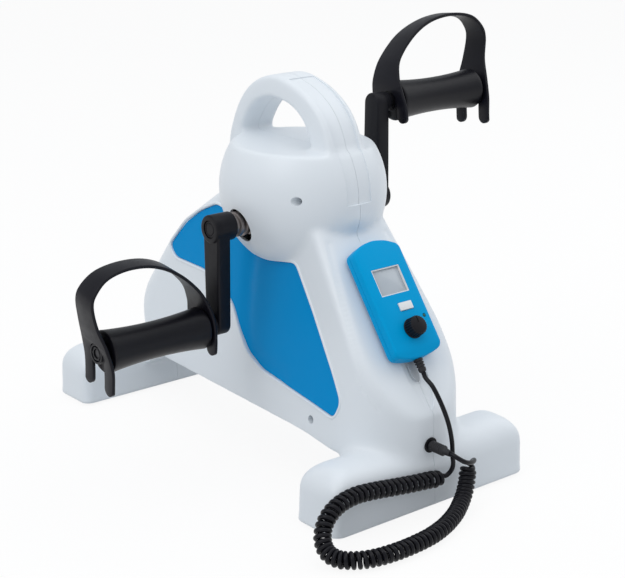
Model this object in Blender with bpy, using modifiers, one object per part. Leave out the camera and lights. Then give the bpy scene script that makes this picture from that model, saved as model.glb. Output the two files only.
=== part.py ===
"""Electric pedal exerciser: a moulded two-half housing with a carrying handle and two bar feet,
a motor-driven crank with strapped bar pedals, and a hand control on a curly cord.

Frame: Z up, the user sits on the -Y side and faces +Y, X runs to the user's right.
The origin is on the floor, under the middle of the feet.
Places inside the housing are measured from the crank axis, whose empty carries them.
"""
import math

import bmesh
import bpy
import numpy as np
from mathutils import Matrix, Vector

mm = 0.001

# Overall sizes, and the crank axis
LENGTH = 455 * mm  # front edge of the front foot to rear edge of the rear foot
CRANK_BACK = 192.1 * mm  # crank axis behind the front edge
CRANK_Z = 233.4 * mm
CRANK_Y = CRANK_BACK - LENGTH / 2
FIT = 0.3 * mm  # gap between pieces that touch
WALL = 2.8 * mm  # moulded wall of the housing
SEAM = 0.15 * mm  # each half of the housing stops this far from the middle

# Housing: flanks, column, console and spine
FLANK_HALF = 61.7 * mm  # half width at the crank's station, at floor level
FLANK_TAPER = 0.055  # the flanks draw in towards the rear
FLANK_DRAFT = 0.10  # and towards the top
BODY_BOTTOM = 54 * mm
CHIN = (-62 * mm, 9 * mm)  # the underside comes down from here towards the front, by this much
HEEL = (165 * mm, 20 * mm)  # and towards the rear
BODY_TOP = 264 * mm  # hidden inside the head
COLUMN_SETBACK = 3.1 * mm  # front of the column behind the foot's edge
COLUMN_FLAT = 14 * mm  # half width of the flat strip down the column
LIP_Z = 85 * mm  # where the console meets the column
CONSOLE_SLOPE = math.radians(53.3)
RIDGE_ROUND = 11 * mm
REAR_ROUND = 30 * mm
BOTTOM_ROUND = 4 * mm
SPINE = [(218, 52), (222, 72), (228, 95), (223, 116), (208, 138), (183, 172), (150, 203), (108, 232),
         (58, 264)]
SPINE_REACH = 262.9 * mm  # from the crank axis to the rear edge that the spine is drawn for

# Head, bulb and handle
HEAD_R = (75 * mm, 82 * mm, 79 * mm)
HEAD_BACK = -5 * mm
HEAD_Z = 258 * mm
SADDLE_Z = 301 * mm  # flat floor under the handle
BULB_R = (45 * mm, 49 * mm, 33 * mm)
BULB_BACK = -38 * mm
BULB_Z = 247 * mm
HANDLE_WIDTH = 41 * mm
HANDLE_ROUND = 4.5 * mm
HANDLE_OUTER = [(-77, 262), (-75, 280), (-69, 305), (-57, 329), (-38, 346), (-12, 357), (16, 361), (44, 352),
                (65, 333), (79, 306), (84, 284), (82, 262)]
HANDLE_INNER = [(60, 262), (65, 283), (63, 303), (51, 323), (36, 335), (17, 340), (-8, 337), (-27, 326),
                (-38, 308), (-43, 287), (-46, 262)]

INSET_HALF = 14 * mm  # sunk band up the front of the handle
INSET_DEPTH = 1.5 * mm
INSET_FOOT_Z = 257 * mm

# Feet
FOOT_HALF = 116 * mm
FOOT_HEIGHT = 58 * mm
FRONT_FOOT_DEPTH = 59 * mm
REAR_FOOT_DEPTH = 55 * mm
FOOT_ROUND = 24 * mm
FOOT_CORNER = 10 * mm
FOOT_FLARE = 1.6 * mm
FILLET_R = 24 * mm  # where the body's sides run out onto the feet
PAD_HEIGHT = 2 * mm  # clearance of the moulding over the floor
PAD_LENGTH = 46 * mm
PAD_WIDTH = 26 * mm
PAD_INSET = 14 * mm  # from the foot's end
PAD_CORNER = 9 * mm

# Screws and bosses that hold the two halves together
BOSS_R = 5.5 * mm
BOSS_SPOTS = [(-38 * mm, 112 * mm), (6 * mm, 130 * mm)]  # beside the drive frame's cheeks
SCREW_HEAD_R = 3.6 * mm
SCREW_R = 1.8 * mm
SCREW_HEAD_X = 10 * mm  # seat of the screw's head, left of the middle
SCREW_REACH = 9 * mm
SCREWS = {"skirt": (-90 * mm, 67.5 * mm), "head": (-62 * mm, 263.5 * mm)}

# Side panels, let into the flanks
RECESS = 6 * mm
PANEL_THICK = 2.2 * mm
PANEL_OUTLINE = [(-49, 202), (-80, 165), (-117, 116), (-130, 96), (-122, 79), (-88, 83), (-8, 91), (17, 101),
                 (31, 117), (45, 139), (66, 153), (100, 161), (152, 161), (164, 171), (137, 200), (111, 217),
                 (84, 229), (66, 226), (50, 209), (24, 199), (-12, 196.5)]
PANEL_CORNER = 7 * mm

# Crank shaft and drive
SHAFT_R = 8 * mm
OPENING_R = 15.8 * mm
OPENING_DROP = 2 * mm
CHEEK_HALF = 26.5 * mm  # inner faces of the drive frame's cheeks
CHEEK_THICK = 3 * mm
CHEEK_FRONT = -58 * mm
CHEEK_REAR = 44 * mm
CHEEK_HEAD_R = 25 * mm
CHEEK_SHOULDER = (14 * mm, 24 * mm)  # where its sides start to draw in, under and over the output shaft
BEARING_R = 16 * mm
BEARING_WIDTH = 9 * mm
CRANK_PULLEY_R = 52 * mm
MOTOR_PULLEY_R = 11 * mm
PULLEY_X = -16.5 * mm  # middle of the belt
PULLEY_WIDTH = 12 * mm
BELT_WIDTH = 9 * mm
BELT_THICK = 2 * mm
OUTPUT_Y = 20 * mm
OUTPUT_Z = 118 * mm
OUTPUT_R = 5 * mm
GEARBOX_DEPTH = 52 * mm
GEARBOX_HEIGHT = 58 * mm
GEARBOX_WIDTH = 30 * mm
MOTOR_R = 19 * mm
MOTOR_LENGTH = 62 * mm
BOARD_THICK = 1.6 * mm
BOARD_DEPTH = 46 * mm
BOARD_HEIGHT = 44 * mm

# Cranks and pedals
CRANK_LENGTH = 90 * mm
CRANK_X = 95.2 * mm  # middle of the arm
CRANK_THICK = 14 * mm
HUB_R = 13.5 * mm
HUB_INNER = 72.9 * mm
HUB_OUTER = 103.8 * mm
CAP_SINK = 0.8 * mm  # the end cap lies this far below the hub's face
CAP_DEPTH = 5.7 * mm
SHAFT_HALF = HUB_OUTER - CAP_SINK - CAP_DEPTH - FIT
ARM_ROOT = 12 * mm
ARM_TIP = 10.5 * mm
PEDAL_BOSS_OUT = 107 * mm
ARM_WEB = 3 * mm  # closes the spindle's bore on the arm's inner face
SPINDLE_R = 6 * mm
SPINDLE_NECK = 4 * mm
FORK_INNER = 111.6 * mm  # the strap's two feet stand this far from the middle
FORK_OUTER = 223 * mm
PEDAL_HALF = (FORK_OUTER - FORK_INNER) / 2
PEDAL_MIDDLE = (FORK_OUTER + FORK_INNER) / 2
PEDAL_LEAN = {"right": math.radians(-6.7), "left": math.radians(6.8)}  # how far each pedal hangs off upright
STRAP_THICK = 3 * mm
STRAP_WIDTH = 45 * mm  # across its feet
PRONG_DROP_OUTER = 35 * mm
PRONG_DROP_INNER = 21.3 * mm
SLOT_R = 9.7 * mm
TUBE_R = 19.5 * mm
TUBE_WAIST = 16.5 * mm
TUBE_PLAY = 0.9 * mm  # at either end, inside the strap
TUBE_PROUD = 3.5 * mm  # the tube's outer hub comes through the strap by this much
NUT_R = 7 * mm
NUT_THICK = 2.8 * mm
NUT_SINK = 0.3 * mm

# The strap from its inner foot over to its outer one, in mm: outwards from the pedal's middle, up from the
# spindle, and its near and far edge along Y
STRAP = [(-55.7, -26, -22.5, 22.5), (-55.7, -8, -22.5, 22.5), (-56.3, 8, -18.5, 24), (-54.3, 22.3, -12.5, 24),
         (-45.4, 40.1, -6.2, 22.6), (-23.3, 60.1, -3.7, 21.6), (2.3, 72.3, -2.4, 17.5), (30, 76.2, -4, 14.6),
         (53.6, 72.3, -6.4, 14.6), (66.7, 61, -8, 16.6), (70.4, 48.8, -8.5, 18), (66.1, 28.1, -10, 20),
         (60.5, 9, -17.5, 22.5), (56.9, -9, -22.5, 22.5), (55.7, -26, -22.5, 22.5),
         (55.7, -40, -22.5, 22.5)]
STRAP_HALF = 55.7  # the half width that these are drawn for

# Hand control on the console
CONTROL_Z = 128 * mm  # foot of the hand control on the console
CONTROL_HALF = 27 * mm
CONTROL_LENGTH = 104 * mm  # at its corners
CONTROL_CROWN = 8 * mm
CONTROL_CORNER = 5 * mm
CLIP_THICK = 2.5 * mm
CONTROL_BACK = 6 * mm
CONTROL_FRONT = 7.8 * mm
CONTROL_WALL = 2 * mm
CONTROL_FOOT = 4 * mm  # its lower corners, up the console from its foot
CONTROL_SAG = 5 * mm  # bow of its lower edge
POST_SPOTS = [(-19, 16), (19, 12), (-19, 92), (19, 92)]
POST_R = 2.2 * mm
CLIP_HALF = 16 * mm
CLIP_SPAN = (14 * mm, 92 * mm)
POT_R = 6.5 * mm
NECK_R = 3.2 * mm  # of the strain relief
SCREEN = (30.6 * mm, 24 * mm)
SCREEN_S = 72 * mm
KNOB_R = 9.5 * mm
KNOB_HEIGHT = 11 * mm
KNOB_PLACE = (1.5 * mm, 25 * mm)
BUTTON = (15 * mm, 7.5 * mm)
BUTTON_PLACE = (4.8 * mm, 46.5 * mm)
BUTTON_TRAVEL = 0.8 * mm
LED_PLACE = (20.5 * mm, 34 * mm)
LED_R = 1.5 * mm
STEM_R = 3 * mm  # of the knob

# Cord, plug and jack
CORD_R = 2.1 * mm
CURL_R = 5.5 * mm
CURLS = 48
CURL_POINTS = 8
CURL_SPREAD = 1.6  # how much the curls open up on a bend
RELIEF_LENGTH = 13 * mm
JACK_X = -4 * mm
JACK_Z = 60 * mm
JACK_R = 5.5 * mm
JACK_FLANGE = 1.2 * mm
PLUG_R = 4.8 * mm
PLUG_LENGTH = 17 * mm
PLUG_TAPER = 7 * mm
INLET_Z = 95 * mm

# Routes in mm, from the crank axis along Y and from the floor along Z
LEAD_ROUTE = [(0, -185, 112.6), (2, -194, 99), (5, -200, 82.8), (6.5, -203.6, 66.8), (6.6, -205, 53),
              (8.4, -204.2, 44), (8.4, -202.2, 37.5), (5.6, -199.9, 32.7), (1, -198.7, 31)]
COIL_ROUTE = [(-2, -198.6, 31), (-14, -198.4, 33), (-32, -198.3, 35), (-54, -198.3, 38), (-78, -198.3, 41.5),
              (-101, -198.6, 43.5), (-121, -200.3, 41), (-136, -203.5, 33.5), (-144, -208, 22.5),
              (-146, -216, 13), (-142, -226, 8.8), (-132.5, -235.5, 8.3), (-119, -242, 8.3),
              (-102, -245, 8.3), (-80, -245.5, 8.3), (-55, -243, 8.3), (-31, -236, 8.3), (-9, -225.5, 8.3), (7, -216, 10),
              (17, -210.5, 15.5), (23, -207, 23.5), (26, -205, 32)]
TAIL_ROUTE = [(-2.5, -220.5, 58), (4, -224, 53.5), (14, -222, 50), (23, -215.5, 47.5), (28, -208.5, 43),
              (27.6, -205, 37)]

X, Y, Z = Vector((1, 0, 0)), Vector((0, 1, 0)), Vector((0, 0, 1))
UPRIGHT = Matrix(((0, 0, 1, 0), (1, 0, 0, 0), (0, 1, 0, 0), (0, 0, 0, 1)))  # an outline in Y and Z

for old in list(bpy.data.objects):
    bpy.data.objects.remove(old)

parts = bpy.data.collections.new("electric_pedal_exerciser")
cutters = bpy.data.collections.new("cutters")
bpy.context.scene.collection.children.link(parts)
bpy.context.scene.collection.children.link(cutters)


def material(name, rgb, roughness, metallic=0.0):
    m = bpy.data.materials.new(name)
    m.use_nodes = True
    shader = m.node_tree.nodes["Principled BSDF"]
    shader.inputs["Base Color"].default_value = (*rgb, 1)
    shader.inputs["Roughness"].default_value = roughness
    shader.inputs["Metallic"].default_value = metallic
    return m


WHITE = (0.83, 0.85, 0.89)
BLUE = (0.0, 0.24, 0.60)
CONTROL_BLUE = (0.0, 0.31, 0.66)
BLACK = (0.012, 0.012, 0.016)
STEEL = (0.55, 0.55, 0.56)


# Making and placing pieces
def datum(name, place, turn=(0, 0, 0), parent=None):
    """An empty that pieces are placed from."""
    e = bpy.data.objects.new(name, None)
    e.location = place
    e.rotation_euler = turn
    e.parent = parent
    parts.objects.link(e)
    return e


def show(obj, name, look, parent):
    """A finished piece: its name is its node, and it gets a material of its own."""
    obj.name = name
    obj.data.materials.clear()
    obj.data.materials.append(material(name, *look))
    carry(obj, parent)
    for c in list(obj.users_collection):
        c.objects.unlink(obj)
    parts.objects.link(obj)
    return obj


def carry(obj, parent):
    """Puts a piece, and what is cut from it or joined to it, under the same empty."""
    obj.parent = parent
    for modifier in obj.modifiers:
        if modifier.type == "BOOLEAN":
            carry(modifier.object, parent)


def hide(obj):
    """A cutter or a form that another piece takes in."""
    obj.hide_render = True
    obj.display_type = "WIRE"
    return obj


def from_bmesh(bm, name):
    mesh = bpy.data.meshes.new(name)
    bm.normal_update()
    bm.to_mesh(mesh)
    bm.free()
    obj = bpy.data.objects.new(name, mesh)
    cutters.objects.link(obj)
    return obj


def turn_to(axis):
    """The rotation that carries local Z to the axis and keeps local Y where it can."""
    if axis == "X":
        return Matrix.Rotation(math.pi / 2, 4, "Y")
    if axis == "Y":
        return Matrix.Rotation(-math.pi / 2, 4, "X")
    return Matrix.Identity(4)


def block(name, low, high, round_by=0.0, segments=2):
    """A box from its lowest to its highest corner."""
    low, high = Vector(low), Vector(high)
    bm = bmesh.new()
    bmesh.ops.create_cube(bm, size=1)
    bmesh.ops.scale(bm, vec=high - low, verts=bm.verts)
    bmesh.ops.translate(bm, vec=(low + high) / 2, verts=bm.verts)
    obj = from_bmesh(bm, name)
    if round_by:
        soften(obj, round_by, segments)
    return obj


def rod(name, radius, start, end, axis, centre=(0, 0), sides=20):
    """A cylinder along X, Y or Z, from start to end; centre is its place across the axis."""
    bm = bmesh.new()
    bmesh.ops.create_cone(bm, cap_ends=True, segments=sides, radius1=radius, radius2=radius,
                          depth=end - start)
    spot = {"X": (0, *centre), "Y": (centre[0], 0, centre[1]), "Z": (*centre, 0)}[axis]
    along = {"X": X, "Y": Y, "Z": Z}[axis] * (start + end) / 2
    bmesh.ops.transform(bm, matrix=Matrix.Translation(Vector(spot) + along) @ turn_to(axis), verts=bm.verts)
    return from_bmesh(bm, name)


def turned(name, profile, axis="Z", steps=24, bored=False):
    """A profile (radius, height) listed from the top down its outer side, turned about the axis."""
    mesh = bpy.data.meshes.new(name)
    count = len(profile)
    edges = [(i, i + 1) for i in range(count - 1)]
    if bored:
        edges.append((count - 1, 0))
    mesh.from_pydata([(r, 0, h) for r, h in profile], edges, [])
    obj = bpy.data.objects.new(name, mesh)
    cutters.objects.link(obj)
    screw = obj.modifiers.new("turn", "SCREW")
    screw.steps = steps
    screw.render_steps = steps
    screw.use_merge_vertices = True
    screw.merge_threshold = 0.00001
    obj.matrix_world = turn_to(axis)
    return obj


def plate(name, outlines, thickness, low=0.0, matrix=None, edge=0.0, edge_steps=1):
    """A flat outline, with any further outlines as its holes, given a thickness above low."""
    curve = bpy.data.curves.new(name, "CURVE")
    curve.dimensions = "2D"
    curve.fill_mode = "BOTH"
    curve.extrude = thickness / 2 - edge
    curve.bevel_depth = edge
    curve.bevel_resolution = edge_steps
    curve.offset = -edge
    for outline in outlines:
        spline = curve.splines.new("POLY")
        spline.points.add(len(outline) - 1)
        for point, (u, v) in zip(spline.points, outline):
            point.co = (u, v, 0, 1)
        spline.use_cyclic_u = True
    flat = bpy.data.objects.new(name, curve)
    cutters.objects.link(flat)
    flat.matrix_world = (matrix or Matrix()) @ Matrix.Translation((0, 0, low + thickness / 2))
    bpy.context.view_layer.update()
    mesh = bpy.data.meshes.new_from_object(flat.evaluated_get(bpy.context.evaluated_depsgraph_get()))
    obj = bpy.data.objects.new(name, mesh)
    obj.matrix_world = flat.matrix_world.copy()
    bpy.data.objects.remove(flat)
    bpy.data.curves.remove(curve)
    bm = bmesh.new()
    bm.from_mesh(mesh)
    bmesh.ops.remove_doubles(bm, verts=bm.verts, dist=0.000005)
    bm.transform(obj.matrix_world)
    bmesh.ops.recalc_face_normals(bm, faces=bm.faces)
    if bm.calc_volume(signed=True) < 0:
        bmesh.ops.reverse_faces(bm, faces=bm.faces)
    bm.to_mesh(mesh)
    bm.free()
    obj.matrix_world = Matrix()
    cutters.objects.link(obj)
    return obj


def combine(target, other, operation):
    """One Boolean, kept as a modifier; the other object goes where the target goes."""
    hide(other)
    boolean = target.modifiers.new(operation.lower(), "BOOLEAN")
    boolean.object = other
    boolean.operation = operation
    boolean.solver = "EXACT"
    return target


def cut(target, *others):
    for other in others:
        combine(target, other, "DIFFERENCE")
    return target


def join(target, *others):
    for other in others:
        combine(target, other, "UNION")
    return target


def soften(obj, width, segments=2, angle=35):
    bevel = obj.modifiers.new("round", "BEVEL")
    bevel.width = width
    bevel.segments = segments
    bevel.limit_method = "ANGLE"
    bevel.angle_limit = math.radians(angle)
    return obj


def fixed(obj):
    """The piece with its modifiers applied, so that its copies share one mesh."""
    bpy.context.view_layer.update()
    hide(obj)
    done = obj.evaluated_get(bpy.context.evaluated_depsgraph_get())
    mesh = bpy.data.meshes.new_from_object(done)
    mesh.transform(obj.matrix_world)
    return same(obj.name, mesh)


def same(name, mesh):
    """One more object that uses a mesh."""
    made = bpy.data.objects.new(name, mesh)
    cutters.objects.link(made)
    return made


# Outlines and smooth lines
def rounded(points, radius, steps=2):
    """A closed outline with its corners rounded off."""
    out = []
    count = len(points)
    for i in range(count):
        before, here, after = (Vector(points[(i + k) % count]) for k in (-1, 0, 1))
        to_before = (before - here).normalized() * min(radius, (before - here).length / 2.2)
        to_after = (after - here).normalized() * min(radius, (after - here).length / 2.2)
        for k in range(steps + 1):
            t = k / steps
            a = here + to_before * (1 - t)
            b = here + to_after * t
            out.append(tuple(a * (1 - t) + b * t))
    return out


def smooth(points, between):
    """Points on the smooth curve through the given ones."""
    p = [Vector(q) for q in points]
    p = [p[0] * 2 - p[1], *p, p[-1] * 2 - p[-2]]
    out = []
    for i in range(1, len(p) - 2):
        for k in range(between):
            t = k / between
            out.append(0.5 * (2 * p[i] + (p[i + 1] - p[i - 1]) * t
                              + (2 * p[i - 1] - 5 * p[i] + 4 * p[i + 1] - p[i + 2]) * t ** 2
                              + (3 * p[i] - p[i - 1] - 3 * p[i + 1] + p[i + 2]) * t ** 3))
    return [*out, p[-2]]


def evenly(points, count):
    """The same line with that many points, evenly spaced along it."""
    line = np.array([tuple(q) for q in points])
    along = np.concatenate([[0], np.cumsum(np.linalg.norm(np.diff(line, axis=0), axis=1))])
    at = np.linspace(0, along[-1], count)
    return np.stack([np.interp(at, along, line[:, k]) for k in range(line.shape[1])], axis=1)


def offset(outline, by):
    """An outline listed counter-clockwise, moved outwards along its own normals."""
    out = []
    count = len(outline)
    for i in range(count):
        before, here, after = (Vector(outline[(i + k) % count]) for k in (-1, 0, 1))
        first, second = (here - before).normalized(), (after - here).normalized()
        normal = Vector((first.y + second.y, -first.x - second.x)).normalized()
        out.append(tuple(here + normal * by / max(0.5, normal.dot(Vector((first.y, -first.x))))))
    return out


def arc(centre, radius, start, end, steps):
    angles = [math.radians(start + (end - start) * k / steps) for k in range(steps + 1)]
    return [(centre[0] + radius * math.cos(a), centre[1] + radius * math.sin(a)) for a in angles]


def in_mm(points):
    return [tuple(value * mm for value in point) for point in points]


def loft(name, rings, bowed=False):
    """A closed solid through rings of equally many points; a bowed base is closed in strips across X."""
    bm = bmesh.new()
    levels = [[bm.verts.new(p) for p in ring] for ring in rings]
    count = len(levels[0])
    for low, high in zip(levels, levels[1:]):
        for i in range(count):
            bm.faces.new((low[i], low[(i + 1) % count], high[(i + 1) % count], high[i]))
    bm.faces.new(levels[-1])
    base = levels[0]
    half = count // 2
    cuts = [i for i in range(1, half) if base[i + 1].co.y - base[i].co.y > FIT / 100]
    stops = [0, *cuts[1:], half] if bowed else []
    for a, b in zip(stops, stops[1:]):
        strip = [*base[a:b + 1], *(base[-i] for i in range(b, a - 1, -1) if i)]
        bm.faces.new(list(dict.fromkeys(strip)))
    if not bowed:
        bm.faces.new(base)
    bmesh.ops.recalc_face_normals(bm, faces=bm.faces)
    return from_bmesh(bm, name)


# Where the housing's surfaces lie, from the crank axis along Y and from the floor along Z
COLUMN_Y = COLUMN_SETBACK - CRANK_BACK
REAR_FOOT_FRONT = LENGTH - CRANK_BACK - REAR_FOOT_DEPTH
REAR_STRETCH = (LENGTH - CRANK_BACK) / SPINE_REACH
spine_line = np.array([(p[0] * REAR_STRETCH, p[1]) for p in smooth(in_mm(SPINE), 6)])


def half_width(y, z):
    return FLANK_HALF - FLANK_TAPER * y - FLANK_DRAFT * z


def column_radius(z, inset=0.0):
    """Radius of the column's round front, which the flanks run into."""
    return (half_width(COLUMN_Y + inset, z) - inset) / (1 + FLANK_TAPER)


def column_face(z, inset=0.0):
    radius = column_radius(z, inset)
    return COLUMN_Y + inset + radius - math.sqrt(radius ** 2 - COLUMN_FLAT ** 2)


def console_y(z):
    return COLUMN_Y + (z - LIP_Z) / math.tan(CONSOLE_SLOPE)


def spine_y(z):
    return float(np.interp(z, spine_line[:, 1], spine_line[:, 0]))


def plan(z, inset=0.0):
    """The housing's outline at one height, drawn in by inset, from the front round to the rear."""
    def wide(y):
        return half_width(y, z) - inset

    radius = column_radius(z, inset)
    middle = COLUMN_Y + inset + radius
    front = max(column_face(z, inset), console_y(z) + inset / math.sin(CONSOLE_SLOPE))
    reach = math.sqrt(radius ** 2 - (middle - front) ** 2) if front < middle else wide(front)
    ease = min(RIDGE_ROUND, 0.45 * reach)
    points = [(0, front), ((reach - ease) / 2, front), (reach - ease, front)]
    turn = math.asin(min(1, reach / radius)) if front < middle else math.pi / 2
    past = turn + ease / radius
    if front < middle and past < math.pi / 2:
        after = (radius * math.sin(past), middle - radius * math.cos(past))
    else:
        after_y = max(front + ease, middle)
        after = (wide(after_y), after_y)
    for t in (0.35, 0.68):
        corner = (Vector((reach - ease, front)) * (1 - t) ** 2 + Vector((reach, front)) * 2 * t * (1 - t)
                  + Vector(after) * t ** 2)
        points.append(tuple(corner))
    points.append(after)
    if after[1] < middle:
        for k in (1, 2, 3):
            angle = past + (math.pi / 2 - past) * k / 3
            points.append((radius * math.sin(angle), middle - radius * math.cos(angle)))
    else:
        points += [(wide(after[1] + k * 4 * mm), after[1] + k * 4 * mm) for k in (1, 2, 3)]
    rear = spine_y(z) - inset
    bend = max(REAR_ROUND - inset, 2 * mm)
    start, stop = points[-1][1], rear - bend
    points += [(wide(start + (stop - start) * t), start + (stop - start) * t) for t in (0.5, 1)]
    side = wide(stop)
    points += [(side - bend + bend * math.cos(a), stop + bend * math.sin(a))
               for a in (math.pi / 8, math.pi / 4, 3 * math.pi / 8, math.pi / 2)]
    points.append((0, rear))
    return points


def drop(y):
    """How far the underside has come down at that distance from the crank axis."""
    total = 0.0
    heel = (HEEL[0] * REAR_STRETCH, HEEL[1])
    for (start, depth), stop in ((CHIN, COLUMN_Y), (heel, REAR_FOOT_FRONT)):
        t = min(1.0, max(0.0, (y - start) / (stop - start)))
        total += depth * t * t * (3 - 2 * t)
    return total


def ring_at(z, inset=0.0, follow=0.0, step=1):
    """A full outline at one height; follow is how much of the underside's drop it takes."""
    half = plan(z, inset)
    ring = half + [(-x, y) for x, y in half[-2:0:-1]]
    return [(x, y, z - follow * drop(y)) for x, y in ring[::step]]


def foot_form(name, middle_y, depth, inset=0.0, steps=2):
    """A loaf-shaped bar: upright sides, a slight flare at the floor, a round top and round ends."""
    base = PAD_HEIGHT + inset
    top = FOOT_HEIGHT - inset
    bend = FOOT_ROUND - inset
    levels = [(base, FOOT_FLARE), (base + 5 * mm, FOOT_FLARE / 3), (top - bend, 0)]
    levels += [(top - bend + bend * math.sin(a), -bend * (1 - math.cos(a))) for a in (0.45, 0.85, 1.2, 1.5)]
    rings = []
    for z, out in levels:
        a = FOOT_HALF - FOOT_FLARE - inset + out
        b = depth / 2 - FOOT_FLARE - inset + out
        corner = min(FOOT_CORNER, b * 0.9)
        ring = []
        for sx, sy, first in ((1, -1, -90), (1, 1, 0), (-1, 1, 90), (-1, -1, 180)):
            middle = (sx * (a - corner), middle_y + sy * (b - corner))
            ring += [(x, y, z) for x, y in arc(middle, corner, first, first + 90, steps)]
        rings.append(ring)
    return loft(name, rings)


def foot_fillet(name, middle_y, depth, side):
    """The foot's own section, raised in a hollow curve where it meets the body's side."""
    wall = half_width(middle_y, FOOT_HEIGHT)
    sunk = 4 * mm  # it starts this far inside the wall
    rings = []
    for k in range(6):
        angle = math.pi / 2 * k / 5
        x = wall - sunk + (FILLET_R + sunk) * (1 - math.cos(angle))
        away = min(FILLET_R, wall + FILLET_R - x)
        rise = FILLET_R - math.sqrt(max(0.0, FILLET_R ** 2 - away ** 2))
        b = depth / 2 - FOOT_FLARE - FIT
        bend = FOOT_ROUND - FIT
        top = FOOT_HEIGHT - FIT + rise
        over = [(b - bend * (1 - math.cos(a)), top - bend * (1 - math.sin(a))) for a in (0, 0.5, 1, 1.5)]
        half = [(b, PAD_HEIGHT + BODY_BOTTOM / 2), *over]
        outline = half + [(-y, z) for y, z in reversed(half)]
        rings.append([(side * x, middle_y + y, z) for y, z in outline])
    return loft(name, rings)


def handle_inset():
    """A band sunk into the handle's front, from a step on the head up to the top of the arch."""
    _, ry, rz = HEAD_R
    face = [(HEAD_BACK - ry * math.sqrt(1 - ((z - HEAD_Z) / rz) ** 2), z)
            for z in (INSET_FOOT_Z + (SADDLE_Z - INSET_FOOT_Z) * k / 5 for k in range(6))]
    arch = [tuple(p) for p in smooth(in_mm(HANDLE_OUTER), 2)]
    face += [p for p in arch if p[1] > SADDLE_Z + 3 * mm and p[0] < 0]
    middle = Vector((0, HEAD_Z))
    inner, outer = [], []
    for p in face:
        out = (Vector(p) - middle).normalized()
        inner.append(tuple(Vector(p) - out * INSET_DEPTH))
        outer.append(tuple(Vector(p) + out * 8 * mm))
    return plate("handle_inset", [inner + outer[::-1]], 2 * INSET_HALF, -INSET_HALF, UPRIGHT)


def egg(name, radii, back, height, inset=0.0, around=26, rings=14, top=None):
    """An ellipsoid on the middle plane, cut off flat at top."""
    bm = bmesh.new()
    bmesh.ops.create_uvsphere(bm, u_segments=around, v_segments=rings, radius=1)
    bmesh.ops.scale(bm, vec=[r - inset for r in radii], verts=bm.verts)
    bmesh.ops.translate(bm, vec=(0, back, height), verts=bm.verts)
    if top is not None:
        bmesh.ops.bisect_plane(bm, geom=[*bm.verts, *bm.edges, *bm.faces], plane_co=(0, 0, top), plane_no=Z,
                               clear_outer=True)
        rim = [e for e in bm.edges if e.is_boundary]
        bmesh.ops.edgeloop_fill(bm, edges=rim)
        bmesh.ops.recalc_face_normals(bm, faces=bm.faces)
    return from_bmesh(bm, name)


def flank_frame(side):
    """Local X runs along the flank, local Y up it, local Z straight out of it."""
    out = Vector((1, FLANK_TAPER, FLANK_DRAFT)).normalized()
    along = (Y - out * Y.dot(out)).normalized()
    up = out.cross(along)
    frame = Matrix((along, up, out)).transposed().to_4x4()
    frame.translation = Vector((FLANK_HALF, 0, 0))
    if side < 0:
        frame = Matrix.Diagonal((-1, 1, 1, 1)) @ frame
    return frame, along, up


def flank_plate(name, outline, outer, inner, side, grow=0.0):
    """A plate parallel to the flank, between two depths below its surface."""
    frame, along, up = flank_frame(side)
    flat = []
    for y, z in outline:
        spot = Vector((half_width(y, z) - FLANK_HALF, y, z))
        flat.append((spot.dot(along), spot.dot(up)))
    return plate(name, [offset(flat, grow)], inner - outer, -inner, frame)


# The housing, in two halves that meet on the middle plane
crank_floor = datum("crank_station", (0, CRANK_Y, 0))
FRONT_FOOT_Y = -CRANK_BACK + FRONT_FOOT_DEPTH / 2
REAR_FOOT_Y = LENGTH - CRANK_BACK - REAR_FOOT_DEPTH / 2
panel_outline = rounded(in_mm(PANEL_OUTLINE), PANEL_CORNER)
FLOOR_TOP = BODY_BOTTOM + WALL

OUTER_LEVELS = [z * mm for z in (64, 96, 116, 138, 160, 183, 206, 232)]
INNER_LEVELS = [z * mm for z in (100, 138, 183, 232)]


def housing_outside():
    """The outer form in one piece: body, head, bulb, handle and feet, with the band sunk into the handle."""
    soft = [(0, BOTTOM_ROUND), (BOTTOM_ROUND * 0.3, BOTTOM_ROUND * 0.4), (BOTTOM_ROUND, 0)]
    levels = sorted([*OUTER_LEVELS, LIP_Z, BODY_TOP])
    rings = [ring_at(BODY_BOTTOM + rise, inset, 1.0) for rise, inset in soft] + [ring_at(z) for z in levels]
    body = loft("housing_form", rings, True)
    head = egg("head_form", HEAD_R, HEAD_BACK, HEAD_Z, top=SADDLE_Z)
    bulb = egg("bulb_form", BULB_R, BULB_BACK, BULB_Z, around=20, rings=10)
    arch = [tuple(p) for p in smooth(in_mm(HANDLE_OUTER), 2)] + in_mm(HANDLE_INNER)
    handle = plate("handle_form", [arch], HANDLE_WIDTH, -HANDLE_WIDTH / 2, UPRIGHT, HANDLE_ROUND)
    front = foot_form("front_foot_form", FRONT_FOOT_Y, FRONT_FOOT_DEPTH)
    rear = foot_form("rear_foot_form", REAR_FOOT_Y, REAR_FOOT_DEPTH)
    join(body, head, bulb, handle, front, rear)
    for side in (-1, 1):
        join(body, foot_fillet("fillet", FRONT_FOOT_Y, FRONT_FOOT_DEPTH, side))
    cut(body, handle_inset())
    return fixed(body)


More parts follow.
